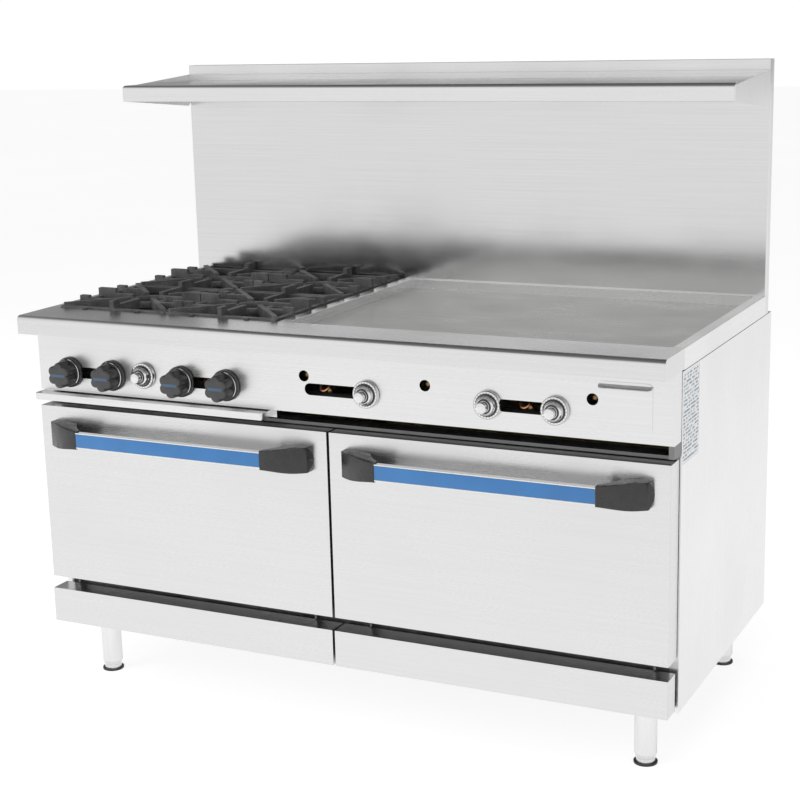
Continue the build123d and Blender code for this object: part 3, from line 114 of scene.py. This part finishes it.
def remap(tree, value, low, high, source_low=NOISE_LOW, source_high=NOISE_HIGH):
    """A value carried from its source range to the range from low to high."""
    node = tree.nodes.new("ShaderNodeMapRange")
    node.inputs["From Min"].default_value = source_low
    node.inputs["From Max"].default_value = source_high
    node.inputs["To Min"].default_value = low
    node.inputs["To Max"].default_value = high
    tree.links.new(value, node.inputs["Value"])
    return node.outputs["Result"]


def math_node(tree, operation, *values):
    """The result of one operation on sockets or plain numbers."""
    node = tree.nodes.new("ShaderNodeMath")
    node.operation = operation
    for socket, value in zip(node.inputs, values):
        feed(tree, value, socket)
    return node.outputs["Value"]


def blend(tree, first, second, share):
    """The sum of two values, the first weighted by share and the second by the rest."""
    return math_node(tree, "ADD", math_node(tree, "MULTIPLY", first, share),
                     math_node(tree, "MULTIPLY", second, 1 - share))


def ramp(tree, value, stops):
    """A colour ramp from (position, colour) stops."""
    node = tree.nodes.new("ShaderNodeValToRGB")
    elements = node.color_ramp.elements
    while len(elements) < len(stops):
        elements.new(0.5)
    for element, (position, colour) in zip(elements, stops):
        element.position = position
        element.color = (*colour, 1.0)
    tree.links.new(value, node.inputs["Fac"])
    return node.outputs["Color"]


def two_tone(tree, value, low, high):
    """A noise value as a colour between low and high."""
    return ramp(tree, value, [(NOISE_LOW, low), (NOISE_HIGH, high)])


def mix(tree, factor, first, second):
    """A blend of two colours, each a socket or a plain colour."""
    node = tree.nodes.new("ShaderNodeMix")
    node.data_type = "RGBA"
    # The node has sockets of every type: 6 and 7 take the colours, and output 2 gives the colour.
    for number, value in ((0, factor), (6, first), (7, second)):
        feed(tree, value, node.inputs[number])
    return node.outputs[2]


def bump(tree, height, strength, distance, under=None):
    """A bumped normal, over another one where given."""
    node = tree.nodes.new("ShaderNodeBump")
    node.inputs["Strength"].default_value = strength
    node.inputs["Distance"].default_value = distance
    tree.links.new(height, node.inputs["Height"])
    if under is not None:
        tree.links.new(under, node.inputs["Normal"])
    return node.outputs["Normal"]


def dress(tree, shader, colour, roughness, normal=None, metallic=0.0):
    """Feeds the shader's colour, roughness and metallic share, and its normal where given."""
    feed(tree, colour, shader.inputs["Base Color"])
    feed(tree, roughness, shader.inputs["Roughness"])
    feed(tree, metallic, shader.inputs["Metallic"])
    if normal is not None:
        feed(tree, normal, shader.inputs["Normal"])


def grey(value, warmth=0.0):
    """A near-neutral colour; positive warmth tends to yellow."""
    return (value * (1 + warmth), value, value * (1 - 1.5 * warmth))


def scaled(colour, factor):
    """A colour made lighter or darker, never past full brightness."""
    return tuple(min(1.0, channel * factor) for channel in colour)


def axis_values(tree):
    """The object-space x, y and z values in metres."""
    split = tree.nodes.new("ShaderNodeSeparateXYZ")
    tree.links.new(object_space(tree, even(1.0)), split.inputs["Vector"])
    return split.outputs["X"], split.outputs["Y"], split.outputs["Z"]


def within(tree, value, low, high):
    """One between the two limits and nought outside."""
    above = math_node(tree, "GREATER_THAN", value, low)
    return math_node(tree, "MULTIPLY", above, math_node(tree, "LESS_THAN", value, high))


# ---------------------------------------------------------------- materials
def brushed_steel(name, grain, tone=0.80, spread=0.025, roughness=0.27, scratch=0.04):
    """Sheet steel with its brush lines along one axis (0, 1 or 2)."""
    material, tree, shader = new_material(name)
    fine = noise(tree, brushed(grain, 1100.0, 7.0), detail=3.0)
    broad = noise(tree, brushed(grain, 320.0, 2.4))
    cloud = noise(tree, even(3.1), detail=3.0, roughness=0.55)
    colour = two_tone(tree, blend(tree, fine, broad, 0.35), grey(tone - spread), grey(tone + spread))
    rough = math_node(tree, "ADD", remap(tree, cloud, roughness - 0.04, roughness + 0.06),
                      remap(tree, fine, -0.03, 0.03))
    dress(tree, shader, colour, rough, bump(tree, fine, scratch, 0.0002), 1.0)
    return material


def griddle_steel():
    """Ground plate steel, seasoned by heat in soft patches."""
    material, tree, shader = new_material("griddle_steel")
    fine = noise(tree, brushed(0, 900.0, 9.0), detail=3.0)
    broad = noise(tree, brushed(0, 90.0, 2.0))
    patch = noise(tree, (4.0, 6.0, 4.0), detail=4.0, roughness=0.6)
    colour = two_tone(tree, blend(tree, broad, patch, 0.5), grey(0.40, 0.01), grey(0.50, 0.01))
    dress(tree, shader, colour, remap(tree, patch, 0.24, 0.36), bump(tree, fine, 0.08, 0.0002), 1.0)
    return material


def cast_iron():
    """Sand-cast iron: rough skin, dull grey where the high spots have rubbed."""
    material, tree, shader = new_material("cast_iron")
    grain = noise(tree, even(420.0), detail=5.0, roughness=0.65)
    lumps = noise(tree, even(70.0), detail=3.0)
    patch = noise(tree, even(22.0), detail=4.0, roughness=0.6)
    colour = ramp(tree, blend(tree, grain, patch, 0.5),
                  [(0.32, grey(0.045)), (0.52, grey(0.11)), (0.72, grey(0.24, 0.01))])
    skin = bump(tree, grain, 0.7, 0.0005, under=bump(tree, lumps, 0.5, 0.0012))
    dress(tree, shader, colour, remap(tree, grain, 0.45, 0.72), skin, 0.25)
    return material


def satin_plastic(name, tone, roughness, speckle=0.15):
    """Moulded plastic with a fine spark-eroded texture."""
    material, tree, shader = new_material(name)
    texture = noise(tree, even(1800.0))
    cloud = noise(tree, even(60.0), detail=3.0)
    colour = two_tone(tree, cloud, scaled(tone, 1 - speckle), scaled(tone, 1 + speckle))
    rough = remap(tree, cloud, roughness - 0.05, roughness + 0.08)
    dress(tree, shader, colour, rough, bump(tree, texture, 0.12, 0.0001))
    return material


def chrome():
    """Bright plating with the faintest polishing haze."""
    material, tree, shader = new_material("chrome")
    haze = noise(tree, even(240.0), detail=4.0)
    colour = two_tone(tree, haze, grey(0.70), grey(0.78))
    dress(tree, shader, colour, remap(tree, haze, 0.04, 0.09), metallic=1.0)
    return material


def enamel(name, tone, roughness):
    """Printed or stoved colour coat with slight orange peel."""
    material, tree, shader = new_material(name)
    peel = noise(tree, even(500.0))
    cloud = noise(tree, even(14.0), detail=3.0)
    colour = two_tone(tree, cloud, scaled(tone, 0.93), scaled(tone, 1.07))
    rough = remap(tree, cloud, roughness - 0.04, roughness + 0.06)
    dress(tree, shader, colour, rough, bump(tree, peel, 0.05, 0.0001))
    return material


def toned_metal(name, low, high, roughness, grain_scale=300.0, metallic=1.0, relief=0.2):
    """Bare or painted metal, or with no metallic share a mat of fibre, mottled from low to high."""
    material, tree, shader = new_material(name)
    grain = noise(tree, even(grain_scale), detail=4.0)
    cloud = noise(tree, even(25.0), detail=4.0, roughness=0.6)
    rough = remap(tree, cloud, roughness - 0.06, roughness + 0.08)
    dress(tree, shader, two_tone(tree, cloud, low, high), rough, bump(tree, grain, relief, 0.0003), metallic)
    return material


def paint_over(material, area, coat):
    """Lays a colour that isn't metal over the part of a material where area is one."""
    tree = material.node_tree
    shader = tree.nodes["Principled BSDF"]
    steel = shader.inputs["Base Color"].links[0].from_socket
    feed(tree, mix(tree, area, steel, coat), shader.inputs["Base Color"])
    feed(tree, math_node(tree, "SUBTRACT", 1.0, area), shader.inputs["Metallic"])


# The data label on the right side panel: its limits and margin in metres, its row pitch, and the shares
# of the row and of the noise that stay blank.
LABEL_Y = (-0.295, -0.179)
LABEL_Z = (0.664, 0.852)
LABEL_EDGE = 0.005
LABEL_ROW = 0.0075
LABEL_ROW_GAP = 0.45
LABEL_WORD_GAP = 0.46
LABEL_WORD_SCALE = 110.0
LABEL_PAPER = (0.80, 0.82, 0.84)
LABEL_INK = (0.20, 0.26, 0.31)
OUTER_FACE = CAD_HIGH[0] - 0.3 * MM


def labelled_steel(name, grain):
    """Sheet steel with a pale printed data label near its front top corner, ruled in place of words."""
    material = brushed_steel(name, grain)
    tree = material.node_tree
    side, setback, height = axis_values(tree)
    label = math_node(tree, "GREATER_THAN", side, OUTER_FACE)
    label = math_node(tree, "MULTIPLY", label, within(tree, setback, *LABEL_Y))
    label = math_node(tree, "MULTIPLY", label, within(tree, height, *LABEL_Z))
    inner = math_node(tree, "MULTIPLY",
                      within(tree, setback, LABEL_Y[0] + LABEL_EDGE, LABEL_Y[1] - LABEL_EDGE),
                      within(tree, height, LABEL_Z[0] + LABEL_EDGE, LABEL_Z[1] - LABEL_EDGE))
    row = math_node(tree, "FRACT", math_node(tree, "MULTIPLY", height, 1 / LABEL_ROW))
    ragged = noise(tree, (1.0, LABEL_WORD_SCALE, 1 / LABEL_ROW), detail=0.0)
    words = math_node(tree, "MULTIPLY", math_node(tree, "GREATER_THAN", row, LABEL_ROW_GAP),
                      math_node(tree, "GREATER_THAN", ragged, LABEL_WORD_GAP))
    ink = math_node(tree, "MULTIPLY", words, inner)
    paint_over(material, label, ramp(tree, ink, [(0.0, LABEL_PAPER), (1.0, LABEL_INK)]))
    return material


RUBBER_TOP = 0.0042


def foot_metal():
    """Plated foot with a thin black rubber face under its flange."""
    material = brushed_steel("foot_metal", 2, tone=0.72)
    tree = material.node_tree
    paint_over(material, math_node(tree, "LESS_THAN", axis_values(tree)[2], RUBBER_TOP), grey(0.02))
    return material


STEEL_X = brushed_steel("stainless_x", 0, tone=0.74)
DOOR_STEEL = brushed_steel("stainless_door", 0, tone=0.70, spread=0.015, scratch=0.03)
TRIM_STEEL = brushed_steel("stainless_trim", 0, tone=0.70)
STEEL_Y = brushed_steel("stainless_y", 1)
STEEL_Z = brushed_steel("stainless_z", 2)
RISER_STEEL = brushed_steel("stainless_riser", 0, tone=0.70, roughness=0.16)
SIDE_STEEL = labelled_steel("stainless_side", 2)
LINER_STEEL = brushed_steel("liner_steel", 1, tone=0.55, roughness=0.38)
FRAME_STEEL = toned_metal("frame_steel", grey(0.20), grey(0.27), 0.42)
GRIDDLE = griddle_steel()
IRON = cast_iron()
BLACK = satin_plastic("black_plastic", grey(0.024), 0.27)
CHARCOAL = satin_plastic("charcoal_plastic", grey(0.046), 0.36)
CHROME = chrome()
# Near-black chrome for the hoops in the knobs' grooves: painted shade and dark reflection in the grooves.
PAINTED_GROOVE_SHADE = toned_metal("painted_groove_shade", grey(0.05), grey(0.09), 0.14, relief=0.02)
BLUE = enamel("blue_enamel", (0.040, 0.175, 0.43), 0.40)
SLATE_BLUE = enamel("slate_blue", (0.055, 0.10, 0.17), 0.45)
BRASS = toned_metal("brass", (0.20, 0.14, 0.07), (0.34, 0.24, 0.11), 0.38)
COPPER = toned_metal("copper", (0.62, 0.24, 0.10), (0.80, 0.38, 0.18), 0.30)
ALUMINIUM = toned_metal("aluminium", grey(0.55), grey(0.66), 0.42)
PIPE = toned_metal("pipe_black", grey(0.03), grey(0.07), 0.5, metallic=0.4)
FOOT = foot_metal()
WOOL = toned_metal("insulation", (0.42, 0.36, 0.16), (0.60, 0.52, 0.25), 0.9,
                   grain_scale=160.0, metallic=0.0, relief=1.0)
MARK = enamel("dial_black", grey(0.02), 0.5)

NODE_MATERIALS = {
    # front_frame takes the dark frame steel as its own finish and also as painted shade in the gap under the
    # doors.
    "leg_tubes": STEEL_Z, "base_frame": FRAME_STEEL, "rear_panel": LINER_STEEL, "front_frame": FRAME_STEEL,
    "control_panel": STEEL_X, "front_ledge": TRIM_STEEL, "top_trims": STEEL_Y, "griddle_guards": STEEL_Y,
    "griddle_plate": GRIDDLE, "griddle_supports": FRAME_STEEL, "grease_trough": LINER_STEEL,
    "griddle_burners": ALUMINIUM, "burner_box": LINER_STEEL, "open_burners": IRON, "gas_pipes": PIPE,
    "gas_valves": PIPE, "oven_thermostats": PIPE, "grease_drawer": STEEL_X,
    "drawer_runners": FRAME_STEEL, "crumb_tray": STEEL_X, "oven_liners": LINER_STEEL,
    "oven_floors": LINER_STEEL, "oven_burners": ALUMINIUM, "oven_insulation": WOOL,
    "rack_guides": FRAME_STEEL, "hinge_brackets": FRAME_STEEL, "riser_front": RISER_STEEL,
    "riser_rear": STEEL_X, "high_shelf": STEEL_X, "shelf_brackets": STEEL_Z,
}
PREFIX_MATERIALS = {
    "side_panel": SIDE_STEEL, "kick_plate": DOOR_STEEL, "oven_rack": CHROME, "door_skin": DOOR_STEEL,
    "door_liner": LINER_STEEL, "handle_bar": CHROME, "handle_ends": BLACK, "foot_": FOOT,
    "burner_knob": CHARCOAL, "oven_knob": CHROME, "griddle_knob": CHROME, "grate_": IRON,
}
# Widths in mm of the rounded edges, by the start of a node's name.
SOFT_EDGES = {
    "front_ledge": 0.9, "top_trims": 0.6, "griddle_guards": 0.8, "riser_front": 0.6,
    "riser_rear": 0.6, "high_shelf": 0.5, "crumb_tray": 0.5, "grease_drawer": 0.4, "side_panel": 0.6,
    "kick_plate": 1.2, "door_skin": 1.2, "handle_bar": 0.5, "handle_ends": 1.6, "grate_": 1.2,
    "leg_tubes": 0.4, "griddle_plate": 0.8,
}
SOFT_EDGE_ANGLE = math.radians(40)
WELD_REACH = 0.01 * MM


def node_material(name):
    """The material of a CAD node, by its whole name or by the start of it."""
    if name in NODE_MATERIALS:
        return NODE_MATERIALS[name]
    for prefix, material in PREFIX_MATERIALS.items():
        if name.startswith(prefix):
            return material
    raise KeyError(name)


def soften(obj, width):
    """Welds the node's faces together and rounds its sharp edges."""
    weld = obj.modifiers.new("weld", "WELD")
    weld.merge_threshold = WELD_REACH
    bevel = obj.modifiers.new("soft_edges", "BEVEL")
    bevel.width = width * MM
    bevel.segments = 2
    bevel.limit_method = "ANGLE"
    bevel.angle_limit = SOFT_EDGE_ANGLE
    bevel.harden_normals = True
    bevel.use_clamp_overlap = True


def finish_node(name, obj):
    """Gives a CAD node its material and softens the edges that show."""
    obj.data.materials.clear()
    obj.data.materials.append(node_material(name))
    for prefix, width in SOFT_EDGES.items():
        if name.startswith(prefix):
            soften(obj, width)


for node_name, node_object in NODES.items():
    finish_node(node_name, node_object)


# ---------------------------------------------------------------- fine pieces
SMOOTH_ANGLE = math.radians(38)


def ring_mesh(rings, hoop=False):
    """Vertices and faces of a skin over rings of points; a hoop joins its last ring to its first."""
    count = len(rings[0])
    verts = [point for ring in rings for point in ring]
    faces = []
    for level in range(len(rings) if hoop else len(rings) - 1):
        here = level * count
        there = (level + 1) % len(rings) * count
        for spot in range(count):
            after = (spot + 1) % count
            faces.append((here + spot, here + after, there + after, there + spot))
    if not hoop:
        faces.append(tuple(range(count - 1, -1, -1)))
        faces.append(tuple(len(verts) - count + spot for spot in range(count)))
    return verts, faces


def add_piece(name, geometry, origin, material, body):
    """A piece from millimetre geometry about a point of the frame, riding on one body."""
    verts, faces = geometry
    mesh = bpy.data.meshes.new(name)
    mesh.from_pydata([Vector(vert) * MM for vert in verts], [], faces)
    skin = bmesh.new()
    skin.from_mesh(mesh)
    bmesh.ops.recalc_face_normals(skin, faces=skin.faces)
    skin.to_mesh(mesh)
    skin.free()
    mesh.shade_smooth()
    mesh.set_sharp_from_angle(angle=SMOOTH_ANGLE)
    mesh.materials.append(material)
    obj = bpy.data.objects.new(name, mesh)
    obj.location = origin
    bpy.context.scene.collection.objects.link(obj)
    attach(obj, body)
    return obj


def turned(profile, hoop=False, count=72):
    """A skin turned about the y axis from (radius, depth) points."""
    rings = []
    for radius, depth in profile:
        ring = []
        for step in range(count):
            angle = FULL_TURN * step / count
            ring.append((radius * math.cos(angle), depth, radius * math.sin(angle)))
        rings.append(ring)
    return ring_mesh(rings, hoop)


def lobed(levels, lobes, sharpness=0.9, count=144):
    """A skin about the y axis whose radius swings from peak to valley: levels of (depth, peak, valley)."""
    rings = []
    for depth, peak, valley in levels:
        ring = []
        for step in range(count):
            angle = FULL_TURN * step / count
            swing = abs(math.cos(lobes * (angle - FULL_TURN / 4) / 2)) ** sharpness
            radius = valley + (peak - valley) * swing
            ring.append((radius * math.cos(angle), depth, radius * math.sin(angle)))
        rings.append(ring)
    return ring_mesh(rings)


def slab(size, edge):
    """A block about its middle with rounded edges."""
    skin = bmesh.new()
    bmesh.ops.create_cube(skin, size=1.0)
    for vert in skin.verts:
        vert.co = [value * length for value, length in zip(vert.co, size)]
    bmesh.ops.bevel(skin, geom=skin.edges[:], offset=edge, segments=2, profile=0.5, affect="EDGES")
    skin.verts.index_update()
    verts = [tuple(vert.co) for vert in skin.verts]
    faces = [tuple(vert.index for vert in face.verts) for face in skin.faces]
    skin.free()
    return verts, faces


# Any direction that no tube runs along; it sets where a tube's rings start.
ASIDE = Vector((0.3, 0.1, 1.0))


def tube(points, radius, count=14):
    """A round tube along points."""
    spots = [Vector(point) for point in points]
    rings = []
    for number, spot in enumerate(spots):
        before = spots[max(number - 1, 0)]
        after = spots[min(number + 1, len(spots) - 1)]
        along = (after - before).normalized()
        across = along.cross(ASIDE).normalized()
        over = along.cross(across)
        ring = []
        for step in range(count):
            angle = FULL_TURN * step / count
            ring.append(tuple(spot + across * radius * math.cos(angle) + over * radius * math.sin(angle)))
        rings.append(ring)
    return ring_mesh(rings)


def arc_points(start, corner, end, steps=8):
    """Points along a smooth bend from start to end that is pulled towards a corner."""
    spots = []
    for step in range(steps + 1):
        share = step / steps
        spots.append(Vector(start) * (1 - share) ** 2 + Vector(corner) * 2 * share * (1 - share)
                     + Vector(end) * share ** 2)
    return spots


def knob_frame(node):
    """The x of a knob's axis, the y of its front, the z of its axis, and its radius in mm."""
    low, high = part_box(node)
    middle = [(a + b) / 2 for a, b in zip(low, high)]
    return middle[0], low[1], middle[2], (high[0] - low[0]) / 2 / MM


# Sizes of the fine pieces from here on are in mm. A knob's depths run from its back at 0 to its front.
BLACK_DEPTH = 47.0
BLACK_SKIRT = 13.0
GRIP_PEAK = 31.0
GRIP_VALLEY = 24.0
GRIP_LOBES = 6
BAND_SIZE = (36, 0.6, 6.5)
BAND_SETBACK = 0.32


def black_knob(node):
    """Skirt with a chrome ring that paints the highlight along its edge, a six-lobed grip that narrows to
    its face, and a blue band.
    """
    x, front, z, radius = knob_frame(node)
    back = (x, front + BLACK_DEPTH * MM, z)
    skirt = turned([(radius - 3, 0), (radius, -0.6), (radius, -5), (radius - 1.4, -5.6), (radius - 1.6, -8),
                    (radius - 2.2, -11), (radius - 3.6, -12.6), (radius - 6, -BLACK_SKIRT),
                    (GRIP_VALLEY - 3, -BLACK_SKIRT)])
    base = add_piece(node + "_skirt", skirt, back, CHARCOAL, node)
    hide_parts(node)
    # The chrome ring is a painted highlight: a bright line put where the skirt's edge catches the light.
    highlight_ring_profile = [(radius - 3.4, -12.2), (radius - 2.6, -11.6), (radius - 2.4, -12.0),
                    (radius - 3.3, -12.7)]
    add_piece(node + "_highlight_ring", turned(highlight_ring_profile, hoop=True), back, CHROME, node)
    face = -BLACK_DEPTH + 0.2
    levels = [(-BLACK_SKIRT + 0.5, GRIP_PEAK - 1, GRIP_VALLEY),
              (-15, GRIP_PEAK - 0.2, GRIP_VALLEY - 0.5),
              (face + 14, GRIP_PEAK - 0.6, GRIP_VALLEY - 0.5),
              (face + 5, GRIP_PEAK - 1.2, GRIP_VALLEY - 0.9),
              (face + 2, GRIP_PEAK - 2.2, GRIP_VALLEY - 1.6),
              (face + 0.5, GRIP_PEAK - 4.2, GRIP_VALLEY - 3.2),
              (face, GRIP_PEAK - 7, GRIP_VALLEY - 5.5)]
    add_piece(node + "_grip", lobed(levels, GRIP_LOBES), back, CHARCOAL, node)
    band_place = (x, front + BAND_SETBACK * MM, z)
    add_piece(node + "_band", slab(BAND_SIZE, 0.2), band_place, SLATE_BLUE, node)


MARK_HALF_WIDTH = 0.45
MARK_DEPTHS = (0.15, -0.12)
MARK_COUNT = 24


def dial_marks(inner, outer):
    """Thin raised marks in a ring from the inner to the outer radius, about the dial's centre."""
    verts, faces = [], []
    for number in range(MARK_COUNT):
        angle = FULL_TURN * number / MARK_COUNT
        along = Vector((math.cos(angle), 0, math.sin(angle)))
        across = Vector((-math.sin(angle), 0, math.cos(angle))) * MARK_HALF_WIDTH
        start = len(verts)
        for depth in MARK_DEPTHS:
            for reach, side in ((inner, -1), (inner, 1), (outer, 1), (outer, -1)):
                verts.append(tuple(along * reach + across * side + Vector((0, depth, 0))))
        faces += [(start, start + 1, start + 2, start + 3), (start + 7, start + 6, start + 5, start + 4)]
        for corner in range(4):
            after = (corner + 1) % 4
            faces.append((start + corner, start + 4 + corner, start + 4 + after, start + after))
    return verts, faces


CHROME_DEPTH = 39.0
BEZEL_DEPTH = 9.0


def chrome_knob(node):
    """Bezel, dial with fine marks, dome and a small turned grip."""
    x, front, z, radius = knob_frame(node)
    back = (x, front + CHROME_DEPTH * MM, z)
    dial = turned([(radius - 1.5, 0), (radius, -0.8), (radius, -6.2), (radius - 0.9, -8.2),
                   (radius - 2.6, -BEZEL_DEPTH), (radius - 6.2, -BEZEL_DEPTH),
                   (radius - 6.8, -BEZEL_DEPTH + 1.4), (radius - 8.2, -BEZEL_DEPTH + 1.2),
                   (radius - 8.6, -12), (radius - 9.4, -17), (radius - 12, -20.8), (radius - 15.5, -22.6),
                   (radius - 18.6, -23), (11.3, -24.2), (11.5, -26), (11.5, -36), (10.8, -38), (9.4, -38.8),
                   (4, -38.9)], count=96)
    base = add_piece(node + "_dial", dial, back, CHROME, node)
    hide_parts(node)
    # Each groove gets a near-black hoop: painted shade that darkens the groove in place of its own shade and
    # reflection.
    grooves = ((radius - 2.0, BEZEL_DEPTH - 0.6, 1.2), (radius - 7.2, BEZEL_DEPTH + 0.6, 2.0),
               (13.6, 22.9, 2.2))
    for number, (middle, depth, width) in enumerate(grooves):
        hoop = [(middle - width, -depth + 1.0), (middle + width, -depth + 1.0),
                (middle + width * 0.7, -depth - 0.2), (middle - width * 0.7, -depth - 0.2)]
        add_piece(f"{node}_groove_{number}", turned(hoop, hoop=True), back, PAINTED_GROOVE_SHADE, node)
    face = (x, back[1] - BEZEL_DEPTH * MM, z)
    add_piece(node + "_marks", dial_marks(radius - 5.6, radius - 3.0), face, MARK, node)


STRIP_THICK = 0.72
STRIP_TALL = 30.2
STRIP_END_GAP = 0.5
STRIP_SETBACK = 0.05


def handle_strip(side):
    """The coloured strip in the groove of a handle bar."""
    low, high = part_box("handle_bar_" + side)
    size = ((high[0] - low[0]) / MM - 2 * STRIP_END_GAP, STRIP_THICK, STRIP_TALL)
    middle_y = low[1] + (STRIP_THICK / 2 + STRIP_SETBACK) * MM
    middle = ((low[0] + high[0]) / 2, middle_y, (low[2] + high[2]) / 2)
    add_piece("handle_strip_" + side, slab(size, 0.2), middle, BLUE, "door_" + side)


for number in range(1, 5):
    black_knob(f"burner_knob_{number}")
for side_name in ("left", "right"):
    chrome_knob("oven_knob_" + side_name)
    chrome_knob("griddle_knob_" + side_name)
    handle_strip(side_name)

# The y of the pilots, which is a little behind the panel's front, and the heights of the two rows of
# knobs, in metres.
PILOT_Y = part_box("control_panel")[0][1] + 14 * MM
BURNER_Z = knob_frame("burner_knob_1")[2]
CONTROL_Z = knob_frame("griddle_knob_left")[2]
JET_Z = CONTROL_Z + 28 * MM
PILOT_LENGTH = 44
PILOT_TUBE_RADIUS = 3.1
PILOT_SPOTS = (("pilot_a", -0.612, BURNER_Z), ("pilot_b", -0.312, BURNER_Z), ("pilot_c", -0.018, CONTROL_Z),
               ("pilot_d", 0.443, CONTROL_Z))
JET_SPOTS = (("pilot_e", -0.058), ("pilot_f", 0.228), ("pilot_g", 0.593))


def pilot_line(name, x, z):
    """A bent pilot tube with its fitting, seen through a sight slot of the control panel."""
    reach = PILOT_LENGTH / 4
    run = arc_points((-reach, 12, 8), (-reach, 2, -7), (0, 0, -5))
    run += arc_points((0, 0, -5), (PILOT_LENGTH / 5, -1, -3), (reach, 10, 8))[1:]
    add_piece(name + "_tube", tube(run, PILOT_TUBE_RADIUS), (x, PILOT_Y, z), COPPER, "range")
    fitting = turned([(4, 3), (6.2, 2), (6.2, -5), (4.4, -6.5), (3, -7)], count=6)
    fitting_place = (x + reach * MM, PILOT_Y + 9 * MM, z - 4 * MM)
    add_piece(name + "_fitting", fitting, fitting_place, BRASS, "range")


for pilot_name, pilot_x, pilot_z in PILOT_SPOTS:
    pilot_line(pilot_name, pilot_x, pilot_z)
for pilot_name, pilot_x in JET_SPOTS:
    jet = turned([(5, 12), (8, 10), (8, 2), (6, 0), (3, -1)], count=24)
    add_piece(pilot_name + "_jet", jet, (pilot_x, PILOT_Y, JET_Z), BRASS, "range")


# ---------------------------------------------------------------- studio
# The surroundings that the metal reflects: at 0 the horizon and all below it, towards 1 overhead.
FRONT_SKY = [(0.0, grey(1.0)), (0.36, grey(0.96)), (0.62, grey(0.30)), (0.85, grey(0.16))]
BACK_SKY = [(0.0, grey(0.50)), (0.30, grey(0.30)), (0.55, grey(0.12)), (0.85, grey(0.10))]
SKY_TURN = 0.35
SKY_STRENGTH = 1.03
FLOOR_REACH = 30.0
FLOOR_GLOW = 0.86
TARGET = (0.0, 0.0, 0.8)
CAMERA_ANGLES = (26.26, 13.01, -1.43)
CAMERA_PLACE = (1.66431, -3.37257, 1.54241)
CAMERA_LENS = 74.79


def studio():
    """White to the camera; bright low in front, dimmer behind and dark overhead in reflections."""
    scene = bpy.context.scene
    scene.view_settings.view_transform = "Standard"
    world = bpy.data.worlds.new("studio")
    world.use_nodes = True
    scene.world = world
    tree = world.node_tree
    background = tree.nodes["Background"]
    source = tree.nodes.new("ShaderNodeTexCoord")
    split = tree.nodes.new("ShaderNodeSeparateXYZ")
    tree.links.new(source.outputs["Generated"], split.inputs["Vector"])
    rise = split.outputs["Z"]
    behind = remap(tree, split.outputs["Y"], 0.0, 1.0, -SKY_TURN, SKY_TURN)
    sky = mix(tree, behind, ramp(tree, rise, FRONT_SKY), ramp(tree, rise, BACK_SKY))
    seen = tree.nodes.new("ShaderNodeLightPath").outputs["Is Camera Ray"]
    feed(tree, mix(tree, seen, sky, grey(1.0)), background.inputs["Color"])
    background.inputs["Strength"].default_value = SKY_STRENGTH


def floor():
    """A wide floor that glows to white in the camera and takes the part's soft shadow."""
    mesh = bpy.data.meshes.new("floor")
    corners = [(x * FLOOR_REACH, y * FLOOR_REACH, 0) for x, y in ((-1, -1), (1, -1), (1, 1), (-1, 1))]
    mesh.from_pydata(corners, [], [(0, 1, 2, 3)])
    obj = bpy.data.objects.new("floor", mesh)
    bpy.context.scene.collection.objects.link(obj)
    material, tree, shader = new_material("floor_white")
    cloud = noise(tree, even(0.6))
    dress(tree, shader, two_tone(tree, cloud, grey(0.32), grey(0.33)), 0.9)
    feed(tree, two_tone(tree, cloud, grey(0.99), grey(1.0)), shader.inputs["Emission Color"])
    shader.inputs["Emission Strength"].default_value = FLOOR_GLOW
    shader.inputs["Specular IOR Level"].default_value = 0.1
    mesh.materials.append(material)


def softbox(name, place, size, power):
    """A rectangular lamp aimed at the target, hidden from the camera and from reflections."""
    light = bpy.data.lights.new(name, "AREA")
    light.shape = "RECTANGLE"
    light.size, light.size_y = size
    light.energy = power
    obj = bpy.data.objects.new(name, light)
    obj.location = place
    obj.rotation_mode = "QUATERNION"
    obj.rotation_quaternion = (Vector(TARGET) - Vector(place)).to_track_quat("-Z", "Y")
    obj.visible_camera = False
    obj.visible_glossy = False
    bpy.context.scene.collection.objects.link(obj)


def camera():
    """The photographed viewpoint: three-quarter view from the front right, slightly above."""
    azimuth, elevation, roll = (math.radians(angle) for angle in CAMERA_ANGLES)
    back = Vector((math.sin(azimuth) * math.cos(elevation), -math.cos(azimuth) * math.cos(elevation),
                   math.sin(elevation)))
    right = (-back).cross(Vector((0, 0, 1))).normalized()
    up = right.cross(-back)
    rolled_right = right * math.cos(roll) + up * math.sin(roll)
    rolled_up = up * math.cos(roll) - right * math.sin(roll)
    data = bpy.data.cameras.new("camera")
    data.sensor_width = 36.0
    data.lens = CAMERA_LENS
    data.clip_end = 100.0
    obj = bpy.data.objects.new("camera", data)
    frame_matrix = Matrix((rolled_right, rolled_up, back)).transposed().to_4x4()
    frame_matrix.translation = CAMERA_PLACE
    obj.matrix_world = frame_matrix
    bpy.context.scene.collection.objects.link(obj)
    bpy.context.scene.camera = obj


studio()
floor()
softbox("overhead", (0.0, -0.6, 4.2), (4.5, 3.5), 90)
softbox("front_left", (-3.2, -3.6, 2.4), (2.5, 2.5), 60)
camera()
